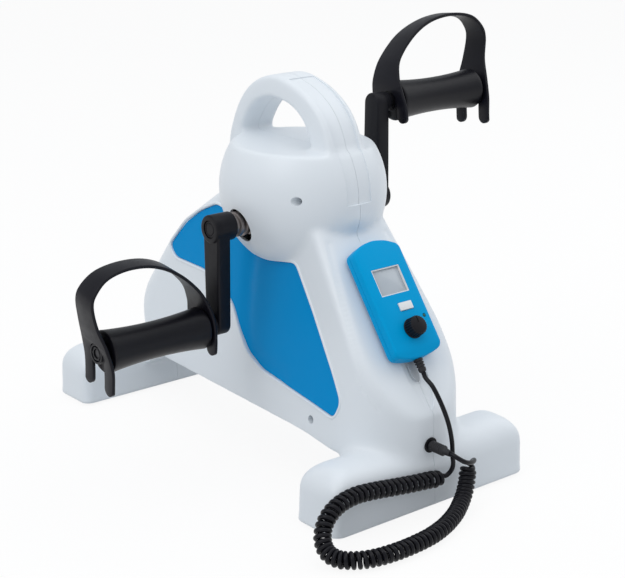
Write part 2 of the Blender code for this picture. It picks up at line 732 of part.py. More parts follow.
def housing_inside():
    """The room inside it, one wall smaller and clear of the panels' recesses."""
    levels = sorted([*INNER_LEVELS, LIP_Z, BODY_TOP])
    rings = [ring_at(FLOOR_TOP, WALL, 1.0, 2)] + [ring_at(z, WALL, 0.0, 2) for z in levels]
    room = loft("room_form", rings, True)
    head = egg("head_room", HEAD_R, HEAD_BACK, HEAD_Z, WALL, 16, 10, SADDLE_Z - WALL)
    front = foot_form("front_foot_room", FRONT_FOOT_Y, FRONT_FOOT_DEPTH, WALL, 1)
    rear = foot_form("rear_foot_room", REAR_FOOT_Y, REAR_FOOT_DEPTH, WALL, 1)
    join(room, head, front, rear)
    for side in (-1, 1):
        backing = flank_plate("panel_backing", panel_outline, -20 * mm, RECESS + WALL, side, WALL)
        cut(room, backing)
    return fixed(room)


outside = hide(housing_outside())
inside = hide(housing_inside())


def wall_boss(side, y, z):
    """A screw boss from the seam to half way through the head's wall, or the flank's."""
    in_head = z > BODY_TOP - WALL
    reach = HEAD_R[0] if in_head else half_width(y, z) - WALL / 2
    boss = rod("screw_boss", BOSS_R, *sorted((side * SEAM, side * reach)), "X", (y, z), 12)
    if in_head:
        combine(boss, egg("boss_end", HEAD_R, HEAD_BACK, HEAD_Z, WALL / 2), "INTERSECT")
    return boss


def housing_half(side, name):
    half = same(name, outside.data.copy())
    wide, high = LENGTH, CRANK_Z * 2
    low, far = (-SEAM, wide) if side < 0 else (-wide, SEAM)
    cut(half, block("far_half", (low, -LENGTH, -high), (far, LENGTH, high)), same("room", inside.data))
    cut(half, flank_plate("panel_recess", panel_outline, -20 * mm, RECESS, side))
    away = sorted((side * (CHEEK_HALF + CHEEK_THICK + BEARING_WIDTH), side * CRANK_X))
    cut(half, rod("crank_opening", OPENING_R, *away, "X", (0, CRANK_Z - OPENING_DROP), 24))
    past = 3 * WALL
    cut(half, rod("jack_hole", JACK_R, COLUMN_Y - past, COLUMN_Y + past, "Y", (JACK_X, JACK_Z), 14))
    rear = spine_y(INLET_Z)
    cut(half, rod("inlet_hole", JACK_R, rear - past, rear + past, "Y", (0, INLET_Z), 14))
    cheek = CHEEK_HALF + CHEEK_THICK + FIT
    for y, z in BOSS_SPOTS:
        reach = half_width(y, z) - RECESS - WALL / 2
        join(half, rod("cheek_boss", BOSS_R, *sorted((side * cheek, side * reach)), "X", (y, z), 10))
    for y, z in SCREWS.values():
        join(half, wall_boss(side, y, z))
        reach = SCREW_REACH + 1 * mm
        cut(half, rod("screw_hole", SCREW_R + FIT, -SCREW_HEAD_X - 1 * mm, reach, "X", (y, z), 8))
        if side < 0:
            cut(half, rod("screw_sink", SCREW_HEAD_R + FIT, -LENGTH / 4, -SCREW_HEAD_X, "X", (y, z), 12))
    return show(half, name, (WHITE, 0.35), crank_floor)


housing_half(-1, "housing_left")
housing_half(1, "housing_right")
for side, name in ((-1, "side_panel_left"), (1, "side_panel_right")):
    panel = flank_plate(name, panel_outline, RECESS - FIT - PANEL_THICK, RECESS - FIT, side, -FIT)
    show(panel, name, (BLUE, 0.4), crank_floor)

for label, (y, z) in SCREWS.items():
    head = -SCREW_HEAD_X - FIT
    profile = [(0, SCREW_REACH), (SCREW_R * 0.6, SCREW_REACH), (SCREW_R, SCREW_REACH - 1 * mm),
               (SCREW_R, head),
               (SCREW_HEAD_R, head), (SCREW_HEAD_R, head - 1.6 * mm), (SCREW_HEAD_R * 0.7, head - 2.4 * mm),
               (0, head - 2.4 * mm)]
    screw = turned("screw", profile, "X", 10)
    screw.location = (0, y, z)
    show(screw, f"housing_screw_{label}", (STEEL, 0.35, 1.0), crank_floor)

for end, y in (("front", FRONT_FOOT_Y), ("rear", REAR_FOOT_Y)):
    for side, hand in ((-1, "left"), (1, "right")):
        x = side * (FOOT_HALF - PAD_INSET - PAD_LENGTH / 2)
        a, b = PAD_LENGTH / 2, PAD_WIDTH / 2
        outline = rounded([(x - a, y - b), (x + a, y - b), (x + a, y + b), (x - a, y + b)], PAD_CORNER, 3)
        pad = plate("pad", [outline], PAD_HEIGHT - FIT)
        show(pad, f"foot_pad_{end}_{hand}", (BLACK, 0.85), crank_floor)


# The drive: a U-shaped frame on the housing's floor, bearings, shaft, pulleys, belt and geared motor
def tangent_outline(first, first_r, second, second_r, steps=10):
    """The outline drawn tight round two circles."""
    first, second = Vector(first), Vector(second)
    run = second - first
    heading = math.degrees(math.atan2(run.y, run.x))
    lean = math.degrees(math.acos((first_r - second_r) / run.length))
    return (arc(first, first_r, heading + lean, heading + 360 - lean, 2 * steps)
            + arc(second, second_r, heading - lean, heading + lean, steps))


FRAME_FLOOR = FLOOR_TOP + FIT
SHAFT_PLACE = (0, CRANK_Z)
OUTPUT_PLACE = (OUTPUT_Y, OUTPUT_Z)


def drive_frame():
    top = arc(SHAFT_PLACE, CHEEK_HEAD_R, -12, 192, 8)
    under, over = CHEEK_SHOULDER
    outline = [(CHEEK_FRONT, FRAME_FLOOR), (CHEEK_REAR, FRAME_FLOOR), (CHEEK_REAR, OUTPUT_Z + over), *top,
               (CHEEK_FRONT, OUTPUT_Z - under)]
    frame = plate("cheek", [outline], CHEEK_THICK, CHEEK_HALF, UPRIGHT)
    other = plate("cheek", [outline], CHEEK_THICK, -CHEEK_HALF - CHEEK_THICK, UPRIGHT)
    wide = CHEEK_HALF + CHEEK_THICK / 2
    web = block("web", (-wide, CHEEK_FRONT + 2 * mm, FRAME_FLOOR + 0.5 * mm),
                (wide, CHEEK_REAR - 2 * mm, FRAME_FLOOR + 0.5 * mm + CHEEK_THICK))
    join(frame, other, web)
    out = CHEEK_HALF + 9 * mm
    cut(frame, rod("bearing_bore", BEARING_R + FIT, -out, out, "X", SHAFT_PLACE, 18))
    return frame


show(drive_frame(), "drive_frame", ((0.35, 0.36, 0.38), 0.45, 1.0), crank_floor)
crank_axis = datum("crank_axis", (0, CRANK_Y, CRANK_Z))

for side, hand in ((-1, "left"), (1, "right")):
    a, b = BEARING_R, SHAFT_R + FIT
    h = BEARING_WIDTH / 2
    groove = 1 * mm
    ring = [(a, h), (a, -h), (b, -h), (b, h), (b + 2.5 * mm, h), (b + 2.5 * mm, h - groove),
            (a - 2.5 * mm, h - groove), (a - 2.5 * mm, h)]
    bearing = turned("bearing", ring, "X", 14, True)
    bearing.location = (side * (CHEEK_HALF + CHEEK_THICK / 2), 0, CRANK_Z)
    show(bearing, f"bearing_{hand}", (STEEL, 0.25, 1.0), crank_floor)
    start = CHEEK_HALF + CHEEK_THICK / 2 + h + FIT
    stop = HUB_INNER - FIT
    rib = 11.5 * mm
    neck = 10 * mm
    sleeve = [(rib, stop), (rib, stop - 3 * mm), (neck, stop - 4 * mm), (neck, stop - 7 * mm),
              (rib, stop - 8 * mm), (rib, start), (b, start), (b, stop)]
    if side < 0:
        sleeve = [(r, -v) for r, v in reversed(sleeve)]
    spacer = turned("spacer", sleeve, "X", 14, True)
    show(spacer, f"shaft_spacer_{hand}", (STEEL, 0.3, 1.0), crank_axis)

chamfer = 1 * mm
shaft = [(0, SHAFT_HALF), (SHAFT_R - chamfer, SHAFT_HALF), (SHAFT_R, SHAFT_HALF - chamfer),
         (SHAFT_R, chamfer - SHAFT_HALF), (SHAFT_R - chamfer, -SHAFT_HALF), (0, -SHAFT_HALF)]
show(turned("shaft", shaft, "X", 18), "crank_shaft", (STEEL, 0.25, 1.0), crank_axis)

rim, hub, h, bore = CRANK_PULLEY_R, SHAFT_R + 6 * mm, PULLEY_WIDTH / 2, SHAFT_R + FIT
disc = 1.5 * mm
lip = rim - 6 * mm
wheel = [(rim, h), (rim, -h), (lip, -h), (lip, -disc), (hub, -disc), (hub, -h), (bore, -h), (bore, h),
         (hub, h), (hub, disc), (lip, disc), (lip, h)]
pulley = turned("wheel", wheel, "X", 18, True)
pulley.location = (PULLEY_X, 0, 0)
show(pulley, "crank_pulley", ((0.75, 0.75, 0.72), 0.5), crank_axis)

motor_axis = datum("output_axis", (0, CRANK_Y + OUTPUT_Y, OUTPUT_Z))
bore = OUTPUT_R + FIT
small = [(MOTOR_PULLEY_R, h), (MOTOR_PULLEY_R, -h), (bore, -h), (bore, h)]
pulley = turned("pinion", small, "X", 16, True)
pulley.location = (PULLEY_X, 0, 0)
show(pulley, "motor_pulley", (STEEL, 0.35, 1.0), motor_axis)
case_left = CHEEK_HALF - FIT - GEARBOX_WIDTH
shaft_in = 8 * mm
output = [(0, case_left + shaft_in - FIT), (OUTPUT_R, case_left + shaft_in - FIT),
          (OUTPUT_R, PULLEY_X - h - chamfer), (OUTPUT_R - chamfer, PULLEY_X - h - 2 * chamfer),
          (0, PULLEY_X - h - 2 * chamfer)]
show(turned("output", output, "X", 14), "output_shaft", (STEEL, 0.25, 1.0), motor_axis)

inner_r, small_r = CRANK_PULLEY_R + 2 * FIT, MOTOR_PULLEY_R + FIT
loop = [tangent_outline(SHAFT_PLACE, inner_r + t, OUTPUT_PLACE, small_r + t, 8) for t in (BELT_THICK, 0)]
belt = plate("belt", loop, BELT_WIDTH, PULLEY_X - BELT_WIDTH / 2, UPRIGHT)
show(belt, "drive_belt", (BLACK, 0.8), crank_floor)

low = (case_left, OUTPUT_Y - GEARBOX_DEPTH / 2, OUTPUT_Z - GEARBOX_HEIGHT / 2)
high = (case_left + GEARBOX_WIDTH, OUTPUT_Y + GEARBOX_DEPTH / 2, OUTPUT_Z + GEARBOX_HEIGHT / 2)
case = block("case", low, high, 3 * mm)
join(case, rod("nose", OUTPUT_R + 4 * mm, case_left - 4 * mm, case_left + 1 * mm, "X", OUTPUT_PLACE))
cut(case, rod("output_bore", OUTPUT_R + FIT, case_left - 6 * mm, case_left + shaft_in, "X", OUTPUT_PLACE, 14))
show(case, "gearbox_case", ((0.42, 0.43, 0.45), 0.5, 1.0), crank_floor)

nose = MOTOR_R - 5 * mm
motor = [(0, MOTOR_LENGTH), (nose * 0.5, MOTOR_LENGTH), (nose * 0.5, MOTOR_LENGTH - 3 * mm),
         (MOTOR_R - 2 * mm, MOTOR_LENGTH - 3 * mm), (MOTOR_R, MOTOR_LENGTH - 5 * mm), (MOTOR_R, 2 * mm),
         (nose, 2 * mm), (nose, 0), (0, 0)]
can = turned("motor", motor, "Y", 16)
can.location = (case_left + GEARBOX_WIDTH / 2, OUTPUT_Y + GEARBOX_DEPTH / 2 + FIT, OUTPUT_Z)
show(can, "motor_can", (STEEL, 0.35, 1.0), crank_floor)

board_x = -CHEEK_HALF + FIT
board_low = (board_x, CHEEK_FRONT + 4 * mm, FRAME_FLOOR + CHEEK_THICK + 2 * mm)
board_high = (board_x + BOARD_THICK, board_low[1] + BOARD_DEPTH, board_low[2] + BOARD_HEIGHT)
board = block("board", board_low, board_high)
for y, z, r, tall in ((10, 12, 5, 12), (10, 26, 5, 12), (24, 34, 3.5, 8)):
    place = (board_low[1] + y * mm, board_low[2] + z * mm)
    join(board, rod("capacitor", r * mm, board_x + 1 * mm, board_x + tall * mm, "X", place, 10))
join(board, block("heat_sink", (board_x + 1 * mm, board_low[1] + 22 * mm, board_low[2] + 6 * mm),
                  (board_x + 10 * mm, board_low[1] + 40 * mm, board_low[2] + 22 * mm)))
show(board, "control_board", ((0.02, 0.16, 0.07), 0.6), crank_floor)


# Cranks: the right one points up, and the left one is the same arm turned half round
def crank_arm():
    outline = tangent_outline((0, 0), ARM_ROOT, (0, CRANK_LENGTH), ARM_TIP, 6)
    arm = plate("arm", [outline], CRANK_THICK, CRANK_X - CRANK_THICK / 2, UPRIGHT, 2 * mm, 0)
    hub = soften(rod("hub", HUB_R, HUB_INNER, HUB_OUTER, "X", (0, 0), 22), 1.2 * mm, 1)
    boss = rod("pedal_boss", ARM_TIP - 1 * mm, CRANK_X, PEDAL_BOSS_OUT, "X", (0, CRANK_LENGTH), 16)
    join(arm, hub, boss)
    cut(arm, rod("shaft_bore", SHAFT_R + FIT, HUB_INNER - 5 * mm, HUB_OUTER + 5 * mm, "X", (0, 0), 18))
    web = CRANK_X - CRANK_THICK / 2 + ARM_WEB
    cut(arm, rod("spindle_bore", SPINDLE_R + FIT, web, PEDAL_BOSS_OUT + 5 * mm, "X", (0, CRANK_LENGTH), 14))
    return fixed(arm)


cap_out = HUB_OUTER - CAP_SINK
cap_in = cap_out - CAP_DEPTH
cap = [(0, cap_out), (SHAFT_R * 0.75, cap_out), (SHAFT_R, cap_out - chamfer), (SHAFT_R, cap_in), (0, cap_in)]
tube_end = FORK_OUTER + TUBE_PROUD
nut_out = tube_end - NUT_SINK
nut_in = nut_out - NUT_THICK
nut_seat = nut_in - FIT
spindle_end = nut_out - chamfer
spindle_in = CRANK_X - CRANK_THICK / 2 + ARM_WEB + FIT
collar_in, collar_out = PEDAL_BOSS_OUT + FIT, FORK_INNER - 1 * mm
collar_r = SPINDLE_R + 2.5 * mm
shoulder = nut_seat - FIT
spindle = [(0, spindle_end), (SPINDLE_NECK, spindle_end), (SPINDLE_NECK, shoulder), (SPINDLE_R, shoulder),
           (SPINDLE_R, collar_out), (collar_r, collar_out), (collar_r, collar_in), (SPINDLE_R, collar_in),
           (SPINDLE_R, spindle_in), (0, spindle_in)]
neck = SPINDLE_NECK + FIT
nut = [(NUT_R - chamfer, nut_out), (NUT_R, nut_out - chamfer), (NUT_R, nut_in), (neck, nut_in),
       (neck, nut_out)]


# Pedals: a waisted bar turns on the spindle, with a stiff strap arched over the foot
def pedal_tube():
    bore = SPINDLE_R + FIT
    hub = SLOT_R - FIT
    left, right = FORK_INNER + STRAP_THICK + TUBE_PLAY, FORK_OUTER - STRAP_THICK - TUBE_PLAY
    length, middle = right - left, (left + right) / 2
    sink = NUT_R + FIT
    profile = [(hub, tube_end), (hub, right), (TUBE_R - 2 * mm, right)]
    for t in (0.49, 0.36, 0.18, -0.18, -0.36, -0.49):
        swell = (abs(t) / 0.49) ** 2
        profile.append((TUBE_WAIST + (TUBE_R - TUBE_WAIST) * swell, middle + t * length))
    profile += [(TUBE_R - 2 * mm, left), (hub, left), (hub, FORK_INNER), (bore, FORK_INNER), (bore, nut_seat),
                (sink, nut_seat), (sink, tube_end)]
    return turned("tube", profile, "X", 14, True)


def fork_notch(side, start, stop, drop_by):
    """What is cut from a foot of the strap, to leave two rounded prongs that straddle the tube's hub."""
    foot = STRAP_WIDTH / 2 + FIT
    tip = (foot - SLOT_R) / 2
    drop = tip - drop_by
    low = -PEDAL_HALF
    notch = [(foot + tip, low), (foot + tip, drop), *arc((SLOT_R + tip, drop), tip, 360, 180, 6),
             *arc((0, 0), SLOT_R, 0, 180, 10), *arc((-SLOT_R - tip, drop), tip, 360, 180, 6),
             (-foot - tip, drop), (-foot - tip, low)]
    low_x, high_x = sorted((side * start, side * stop))
    return plate("notch", [notch], high_x - low_x, low_x, UPRIGHT)


def pedal_strap(side):
    """A band bent over the foot, wider at its two feet, with the same bend on either side of the machine."""
    stretch = PEDAL_HALF / (STRAP_HALF * mm)
    line = [(PEDAL_MIDDLE + p[0] * stretch, *p[1:]) for p in smooth(in_mm(STRAP), 2)]
    rings = []
    for i, (x, z, near, far) in enumerate(line):
        before, after = line[max(0, i - 1)], line[min(len(line) - 1, i + 1)]
        inwards = Vector((after[1] - before[1], before[0] - after[0])).normalized() * STRAP_THICK
        under_x, under_z = side * (x + inwards.x), z + inwards.y
        rings.append([(side * x, near, z), (side * x, far, z), (under_x, far, under_z),
                      (under_x, near, under_z)])
    strap = loft("strap", rings)
    cut(strap, fork_notch(side, FORK_INNER - 4 * STRAP_THICK, PEDAL_MIDDLE, PRONG_DROP_INNER))
    return cut(strap, fork_notch(side, PEDAL_MIDDLE, FORK_OUTER + 4 * STRAP_THICK, PRONG_DROP_OUTER))


arm_mesh = hide(crank_arm()).data
for hand, side, turn, up, out in (("right", 1, 0, 1, 0), ("left", -1, math.pi, -1, math.pi)):
    side_axis = datum(f"crank_turn_{hand}", (0, 0, 0), (0, turn, 0), crank_axis)
    show(same("arm", arm_mesh.copy()), f"crank_arm_{hand}", (BLACK, 0.42), side_axis)
    show(turned("cap", cap, "X", 16), f"crank_cap_{hand}", (BLACK, 0.35), side_axis)
    pedal_axis = datum(f"pedal_axis_{hand}", (0, 0, up * CRANK_LENGTH), (0, 0, out), crank_axis)
    show(turned("spindle", spindle, "X", 12), f"pedal_spindle_{hand}", (STEEL, 0.3, 1.0), pedal_axis)
    show(turned("nut", nut, "X", 12, True), f"spindle_nut_{hand}", (BLACK, 0.4), pedal_axis)
    show(pedal_tube(), f"pedal_tube_{hand}", (BLACK, 0.55), pedal_axis)
    leaning = datum(f"pedal_lean_{hand}", (0, 0, up * CRANK_LENGTH), (PEDAL_LEAN[hand], 0, 0), crank_axis)
    show(pedal_strap(side), f"pedal_strap_{hand}", (BLACK, 0.5), leaning)


# The hand control: local X to the right, local Y up the console, local Z straight out of it
console = datum("console", (0, CRANK_Y + console_y(CONTROL_Z), CONTROL_Z), (CONSOLE_SLOPE, 0, 0))
back_low = FIT + CLIP_THICK + FIT
back_high = back_low + CONTROL_BACK
front_low = back_high + FIT
front_high = front_low + CONTROL_FRONT
ceiling = front_high - CONTROL_WALL
board_w = front_low + 1.8 * mm
board_top = board_w + BOARD_THICK


def control_outline(inset, corners=True):
    """Straight sides, with the upper and the lower edge bowed."""
    a = CONTROL_HALF - inset
    low, high = CONTROL_FOOT + inset, CONTROL_LENGTH - inset
    bow = CONTROL_CROWN * a / CONTROL_HALF
    top = [(a * (1 - k / 4), high + bow * (1 - (1 - k / 4) ** 2)) for k in range(0, 9, 2)]
    bottom = [(-a * (1 - k / 3), low - CONTROL_SAG * (1 - (1 - k / 3) ** 2)) for k in range(0, 7)]
    return rounded([*bottom, *top], CONTROL_CORNER / 2, 1) if corners else [*bottom, *top]


relief_w = (back_high + front_low) / 2
relief_mouth = rod("relief_hole", NECK_R + FIT, -12 * mm, 8 * mm, "Y", (0, relief_w), 14)


def control_back():
    shell = soften(plate("back", [control_outline(0)], CONTROL_BACK, back_low), 1.5 * mm, 1, 60)
    room = control_outline(CONTROL_WALL, False)
    cut(shell, plate("back_room", [room], CONTROL_BACK, back_low + CONTROL_WALL))
    for spot in in_mm(POST_SPOTS):
        join(shell, rod("board_post", POST_R, back_low + CONTROL_WALL / 2, board_w - FIT, "Z", spot, 8))
    return cut(shell, relief_mouth)


def control_front():
    shell = soften(plate("front", [control_outline(0)], CONTROL_FRONT, front_low), 2.2 * mm, 2, 60)
    room = control_outline(CONTROL_WALL, False)
    cut(shell, plate("front_room", [room], CONTROL_FRONT, front_low - CONTROL_WALL))
    a, b = SCREEN[0] / 2, SCREEN[1] / 2
    cut(shell, block("window", (-a, SCREEN_S - b, ceiling - 1 * mm), (a, SCREEN_S + b, front_high + 1 * mm)))
    a, b = BUTTON[0] / 2 + FIT, BUTTON[1] / 2 + FIT
    x, s = BUTTON_PLACE
    cut(shell, block("button_hole", (x - a, s - b, ceiling - 1 * mm), (x + a, s + b, front_high + 1 * mm)))
    for place, r in ((KNOB_PLACE, STEM_R), (LED_PLACE, LED_R)):
        cut(shell, rod("hole", r + FIT, ceiling - 1 * mm, front_high + 1 * mm, "Z", place, 14))
    return cut(shell, relief_mouth)


low, high = CLIP_SPAN
clip_outline = [(-CLIP_HALF, low), (CLIP_HALF, low), (CLIP_HALF, high), (-CLIP_HALF, high)]
clip = plate("clip", [rounded(clip_outline, 4 * mm)], CLIP_THICK, FIT)
show(clip, "control_clip", (WHITE, 0.4), console)
show(control_back(), "control_back", (CONTROL_BLUE, 0.35), console)
show(control_front(), "control_front", (CONTROL_BLUE, 0.3), console)
board = plate("control_board", [control_outline(CONTROL_WALL + 1 * mm, False)], BOARD_THICK, board_w)
cut(board, rod("stem_hole", STEM_R + FIT, board_w - 1 * mm, board_top + 1 * mm, "Z", KNOB_PLACE, 14))
cut(board, block("relief_notch", (-6 * mm, -9 * mm, board_w - 1 * mm), (6 * mm, 9 * mm, board_top + 1 * mm)))
show(board, "control_circuit", ((0.02, 0.16, 0.07), 0.6), console)
a, b = SCREEN[0] / 2 + 1.5 * mm, SCREEN[1] / 2 + 1.5 * mm
screen = block("screen", (-a, SCREEN_S - b, board_top + FIT), (a, SCREEN_S + b, ceiling - FIT))
show(screen, "control_screen", ((0.36, 0.41, 0.45), 0.25), console)
led = rod("led", LED_R, board_top + FIT, front_high + 0.3 * mm, "Z", LED_PLACE, 12)
show(led, "power_light", ((0.02, 0.10, 0.09), 0.3), console)

pot_low = back_low + CONTROL_WALL + FIT
pot_high = board_w - FIT
stem_low = pot_low + 1.8 * mm
bore = STEM_R + FIT
pot = turned("pot", [(0, stem_low - FIT), (bore, stem_low - FIT), (bore, pot_high), (POT_R, pot_high),
                     (POT_R, pot_low), (0, pot_low)], "Z", 16)
pot.location = (*KNOB_PLACE, 0)
show(pot, "speed_pot", (STEEL, 0.4, 1.0), console)

knob_axis = datum("knob_axis", (*KNOB_PLACE, 0), parent=console)
knob_low = front_high + FIT
knob_high = knob_low + KNOB_HEIGHT
cap_r = KNOB_R - 0.4 * mm
knob = turned("knob", [(0, knob_high), (cap_r - 2 * mm, knob_high), (cap_r - 0.6 * mm, knob_high - 1.4 * mm),
                       (cap_r, knob_low + 1.5 * mm), (KNOB_R, knob_low + 1.2 * mm), (KNOB_R, knob_low),
                       (STEM_R, knob_low), (STEM_R, stem_low), (0, stem_low)], "Z", 20)
cut(knob, block("pointer", (-0.6 * mm, 2 * mm, knob_high - 0.6 * mm), (0.6 * mm, KNOB_R, knob_high + 1 * mm)))
show(knob, "speed_knob", (BLACK, 0.4), knob_axis)

button_axis = datum("button_axis", (*BUTTON_PLACE, 0), parent=console)
a, b = BUTTON[0] / 2, BUTTON[1] / 2
button_low = board_top + FIT + BUTTON_TRAVEL
button = block("button", (-a, -b, button_low + 0.5 * mm), (a, b, front_high + 1.1 * mm))
flange = ceiling - FIT
rim = 1.2 * mm
join(button, block("flange", (-a - rim, -b - rim, button_low), (a + rim, b + rim, flange)))
show(button, "mode_button", ((0.86, 0.87, 0.88), 0.35), button_axis)

taper = [(NECK_R + 0.6 * mm, 5 * mm), (NECK_R + 0.6 * mm, 3.6 * mm), (NECK_R, 3.6 * mm), (NECK_R, -1.4 * mm),
         (NECK_R + 1.2 * mm, -1.4 * mm), (NECK_R + 1 * mm, -4 * mm), (NECK_R + 0.1 * mm, -RELIEF_LENGTH),
         (0, -RELIEF_LENGTH)]
relief = turned("relief", [(0, 5 * mm), *taper], "Y", 14)
relief.location = (0, 0, relief_w)
show(relief, "strain_relief", (BLACK, 0.6), console)


# Jack in the column, power inlet in the rear, and the plug
face = column_face(JACK_Z)
body = JACK_R - FIT
socket = [(0, face + 11 * mm), (body, face + 11 * mm), (body, face - FIT), (JACK_R + 1.5 * mm, face - FIT),
          (JACK_R + 1.5 * mm, face - FIT - JACK_FLANGE), (2.1 * mm, face - FIT - JACK_FLANGE),
          (2.1 * mm, face + 7 * mm), (0, face + 7 * mm)]
jack = turned("jack", socket, "Y", 14)
jack.location = (JACK_X, 0, JACK_Z)
show(jack, "lead_jack", (BLACK, 0.5), crank_floor)

rear = spine_y(INLET_Z)
socket = [(0, rear - 6 * mm), (2.8 * mm, rear - 6 * mm), (2.8 * mm, rear + FIT + 1.5 * mm),
          (JACK_R + 2 * mm, rear + FIT + 1.5 * mm), (JACK_R + 2 * mm, rear + FIT), (body, rear + FIT),
          (body, rear - 12 * mm), (0, rear - 12 * mm)]
inlet = turned("inlet", socket, "Y", 14)
inlet.location = (0, 0, INLET_Z)
show(inlet, "power_inlet", (BLACK, 0.5), crank_floor)

plug_in = face - 2 * FIT - JACK_FLANGE
plug_out = plug_in - PLUG_LENGTH
pin_r = 1.8 * mm
barrel = [(0, face + 6 * mm), (pin_r, face + 6 * mm), (pin_r, plug_in), (PLUG_R, plug_in),
          (PLUG_R, plug_out + 2 * mm), (PLUG_R - 1.2 * mm, plug_out), (CORD_R + 1 * mm, plug_out - 1 * mm),
          (CORD_R + 0.6 * mm, plug_out - PLUG_TAPER), (0, plug_out - PLUG_TAPER)]
plug = turned("plug", barrel, "Y", 12)
plug.location = (JACK_X, 0, JACK_Z)
show(plug, "cord_plug", (BLACK, 0.5), crank_floor)


# The cord: a lead from the hand control, the curly length, and a tail to the plug
def tube(name, points, bevel_resolution):
    curve = bpy.data.curves.new(name, "CURVE")
    curve.dimensions = "3D"
    curve.bevel_depth = CORD_R
    curve.bevel_resolution = bevel_resolution
    curve.use_fill_caps = True
    spline = curve.splines.new("POLY")
    spline.points.add(len(points) - 1)
    for point, place in zip(spline.points, points):
        point.co = (*place, 1)
    obj = bpy.data.objects.new(name, curve)
    cutters.objects.link(obj)
    return obj


def line_length(points):
    return float(np.linalg.norm(np.diff(np.array([tuple(p) for p in points]), axis=0), axis=1).sum())


def free_run(start, start_way, route, end, end_way):
    """A smooth line that leaves one end and meets the other squarely, with the usual gap at both."""
    stub = 3 * CORD_R
    ends = [start + start_way * FIT, start + start_way * stub, end - end_way * stub, end - end_way * FIT]
    line = smooth([*ends[:2], *in_mm(route), *ends[2:]], 5)[5:-5]
    return [ends[0], *evenly(line, round(line_length(line) / (4 * CORD_R))), ends[3]]


def curls(axis_points):
    """A helix round the axis line, opened up on bends, running straight for one diameter at each end."""
    fine = evenly(axis_points, CURLS * CURL_POINTS * 4)
    step = np.linalg.norm(np.diff(fine, axis=0), axis=1).mean()
    tangents = np.gradient(fine, axis=0)
    tangents /= np.linalg.norm(tangents, axis=1)[:, None]
    side = np.cross(tangents[0], (0, 0, 1.0))
    side /= np.linalg.norm(side)
    bend = np.linalg.norm(np.gradient(tangents, axis=0), axis=1) / step
    bend = np.convolve(bend, np.ones(33) / 33, "same")
    straight = round(2 * CORD_R / step)
    rate = 1 / (1 + CURL_SPREAD * CURL_R * bend)
    rate[:straight] = 0
    rate[-straight:] = 0
    turns = np.cumsum(rate) / rate.sum() * CURLS
    points = [tuple(fine[0])]
    wanted = 0
    for spot, tangent, turn in zip(fine, tangents, turns):
        side = side - tangent * side.dot(tangent)
        side /= np.linalg.norm(side)
        if turn <= 0 or turn < wanted / CURL_POINTS - 1e-9:
            continue
        wanted += 1
        ease = min(1.0, turn, CURLS - turn)
        swell = CURL_R * ease * ease * (3 - 2 * ease)
        angle = 2 * math.pi * turn
        across = side * math.cos(angle) + np.cross(tangent, side) * math.sin(angle)
        points.append(tuple(spot + swell * across))
    points.append(tuple(fine[-1]))
    return points


def least_gap(points):
    """The least distance between turns of the tube, surface to surface, on points along it."""
    line = evenly(points, len(points) * 4)
    step = np.linalg.norm(np.diff(line, axis=0), axis=1).mean()
    skip = int(0.5 * 2 * math.pi * CURL_R / step)
    least = min(np.linalg.norm(line[i + skip:] - line[i], axis=1).min() for i in range(len(line) - skip - 1))
    return least - 2 * CORD_R


console_turn = Matrix.Rotation(CONSOLE_SLOPE, 3, "X")
console_foot = Vector((0, console_y(CONTROL_Z), CONTROL_Z))
relief_end = console_foot + console_turn @ Vector((0, -RELIEF_LENGTH, relief_w))
plug_end = Vector((JACK_X, plug_out - PLUG_TAPER, JACK_Z))
coil_axis = smooth(in_mm(COIL_ROUTE), 12)
coil_way = (coil_axis[1] - coil_axis[0]).normalized()
coil_out = (coil_axis[-1] - coil_axis[-2]).normalized()
lead_line = free_run(relief_end, console_turn @ -Y, LEAD_ROUTE, coil_axis[0], coil_way)
tail_line = free_run(plug_end, -Y, TAIL_ROUTE, coil_axis[-1], -coil_out)
coil_line = curls(coil_axis)
cord = (("cord_lead", lead_line, 2), ("cord_coil", coil_line, 1), ("cord_tail", tail_line, 2))
for name, line, resolution in cord:
    show(tube(name, line, resolution), name, (BLACK, 0.5), crank_floor)
    print(f"{name}: {line_length(line):.3f} m")
print(f"cord_coil: {CURLS} curls, least gap {least_gap(coil_line) / mm:.2f} mm")
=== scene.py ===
"""Electric pedal exerciser: the looks of the machine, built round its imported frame.

Units are metres. The machine stands on the floor with its user on the -Y side, and +X to the user's right.
"""
import math

import bmesh
import bpy
import numpy as np
from mathutils import Matrix, Vector


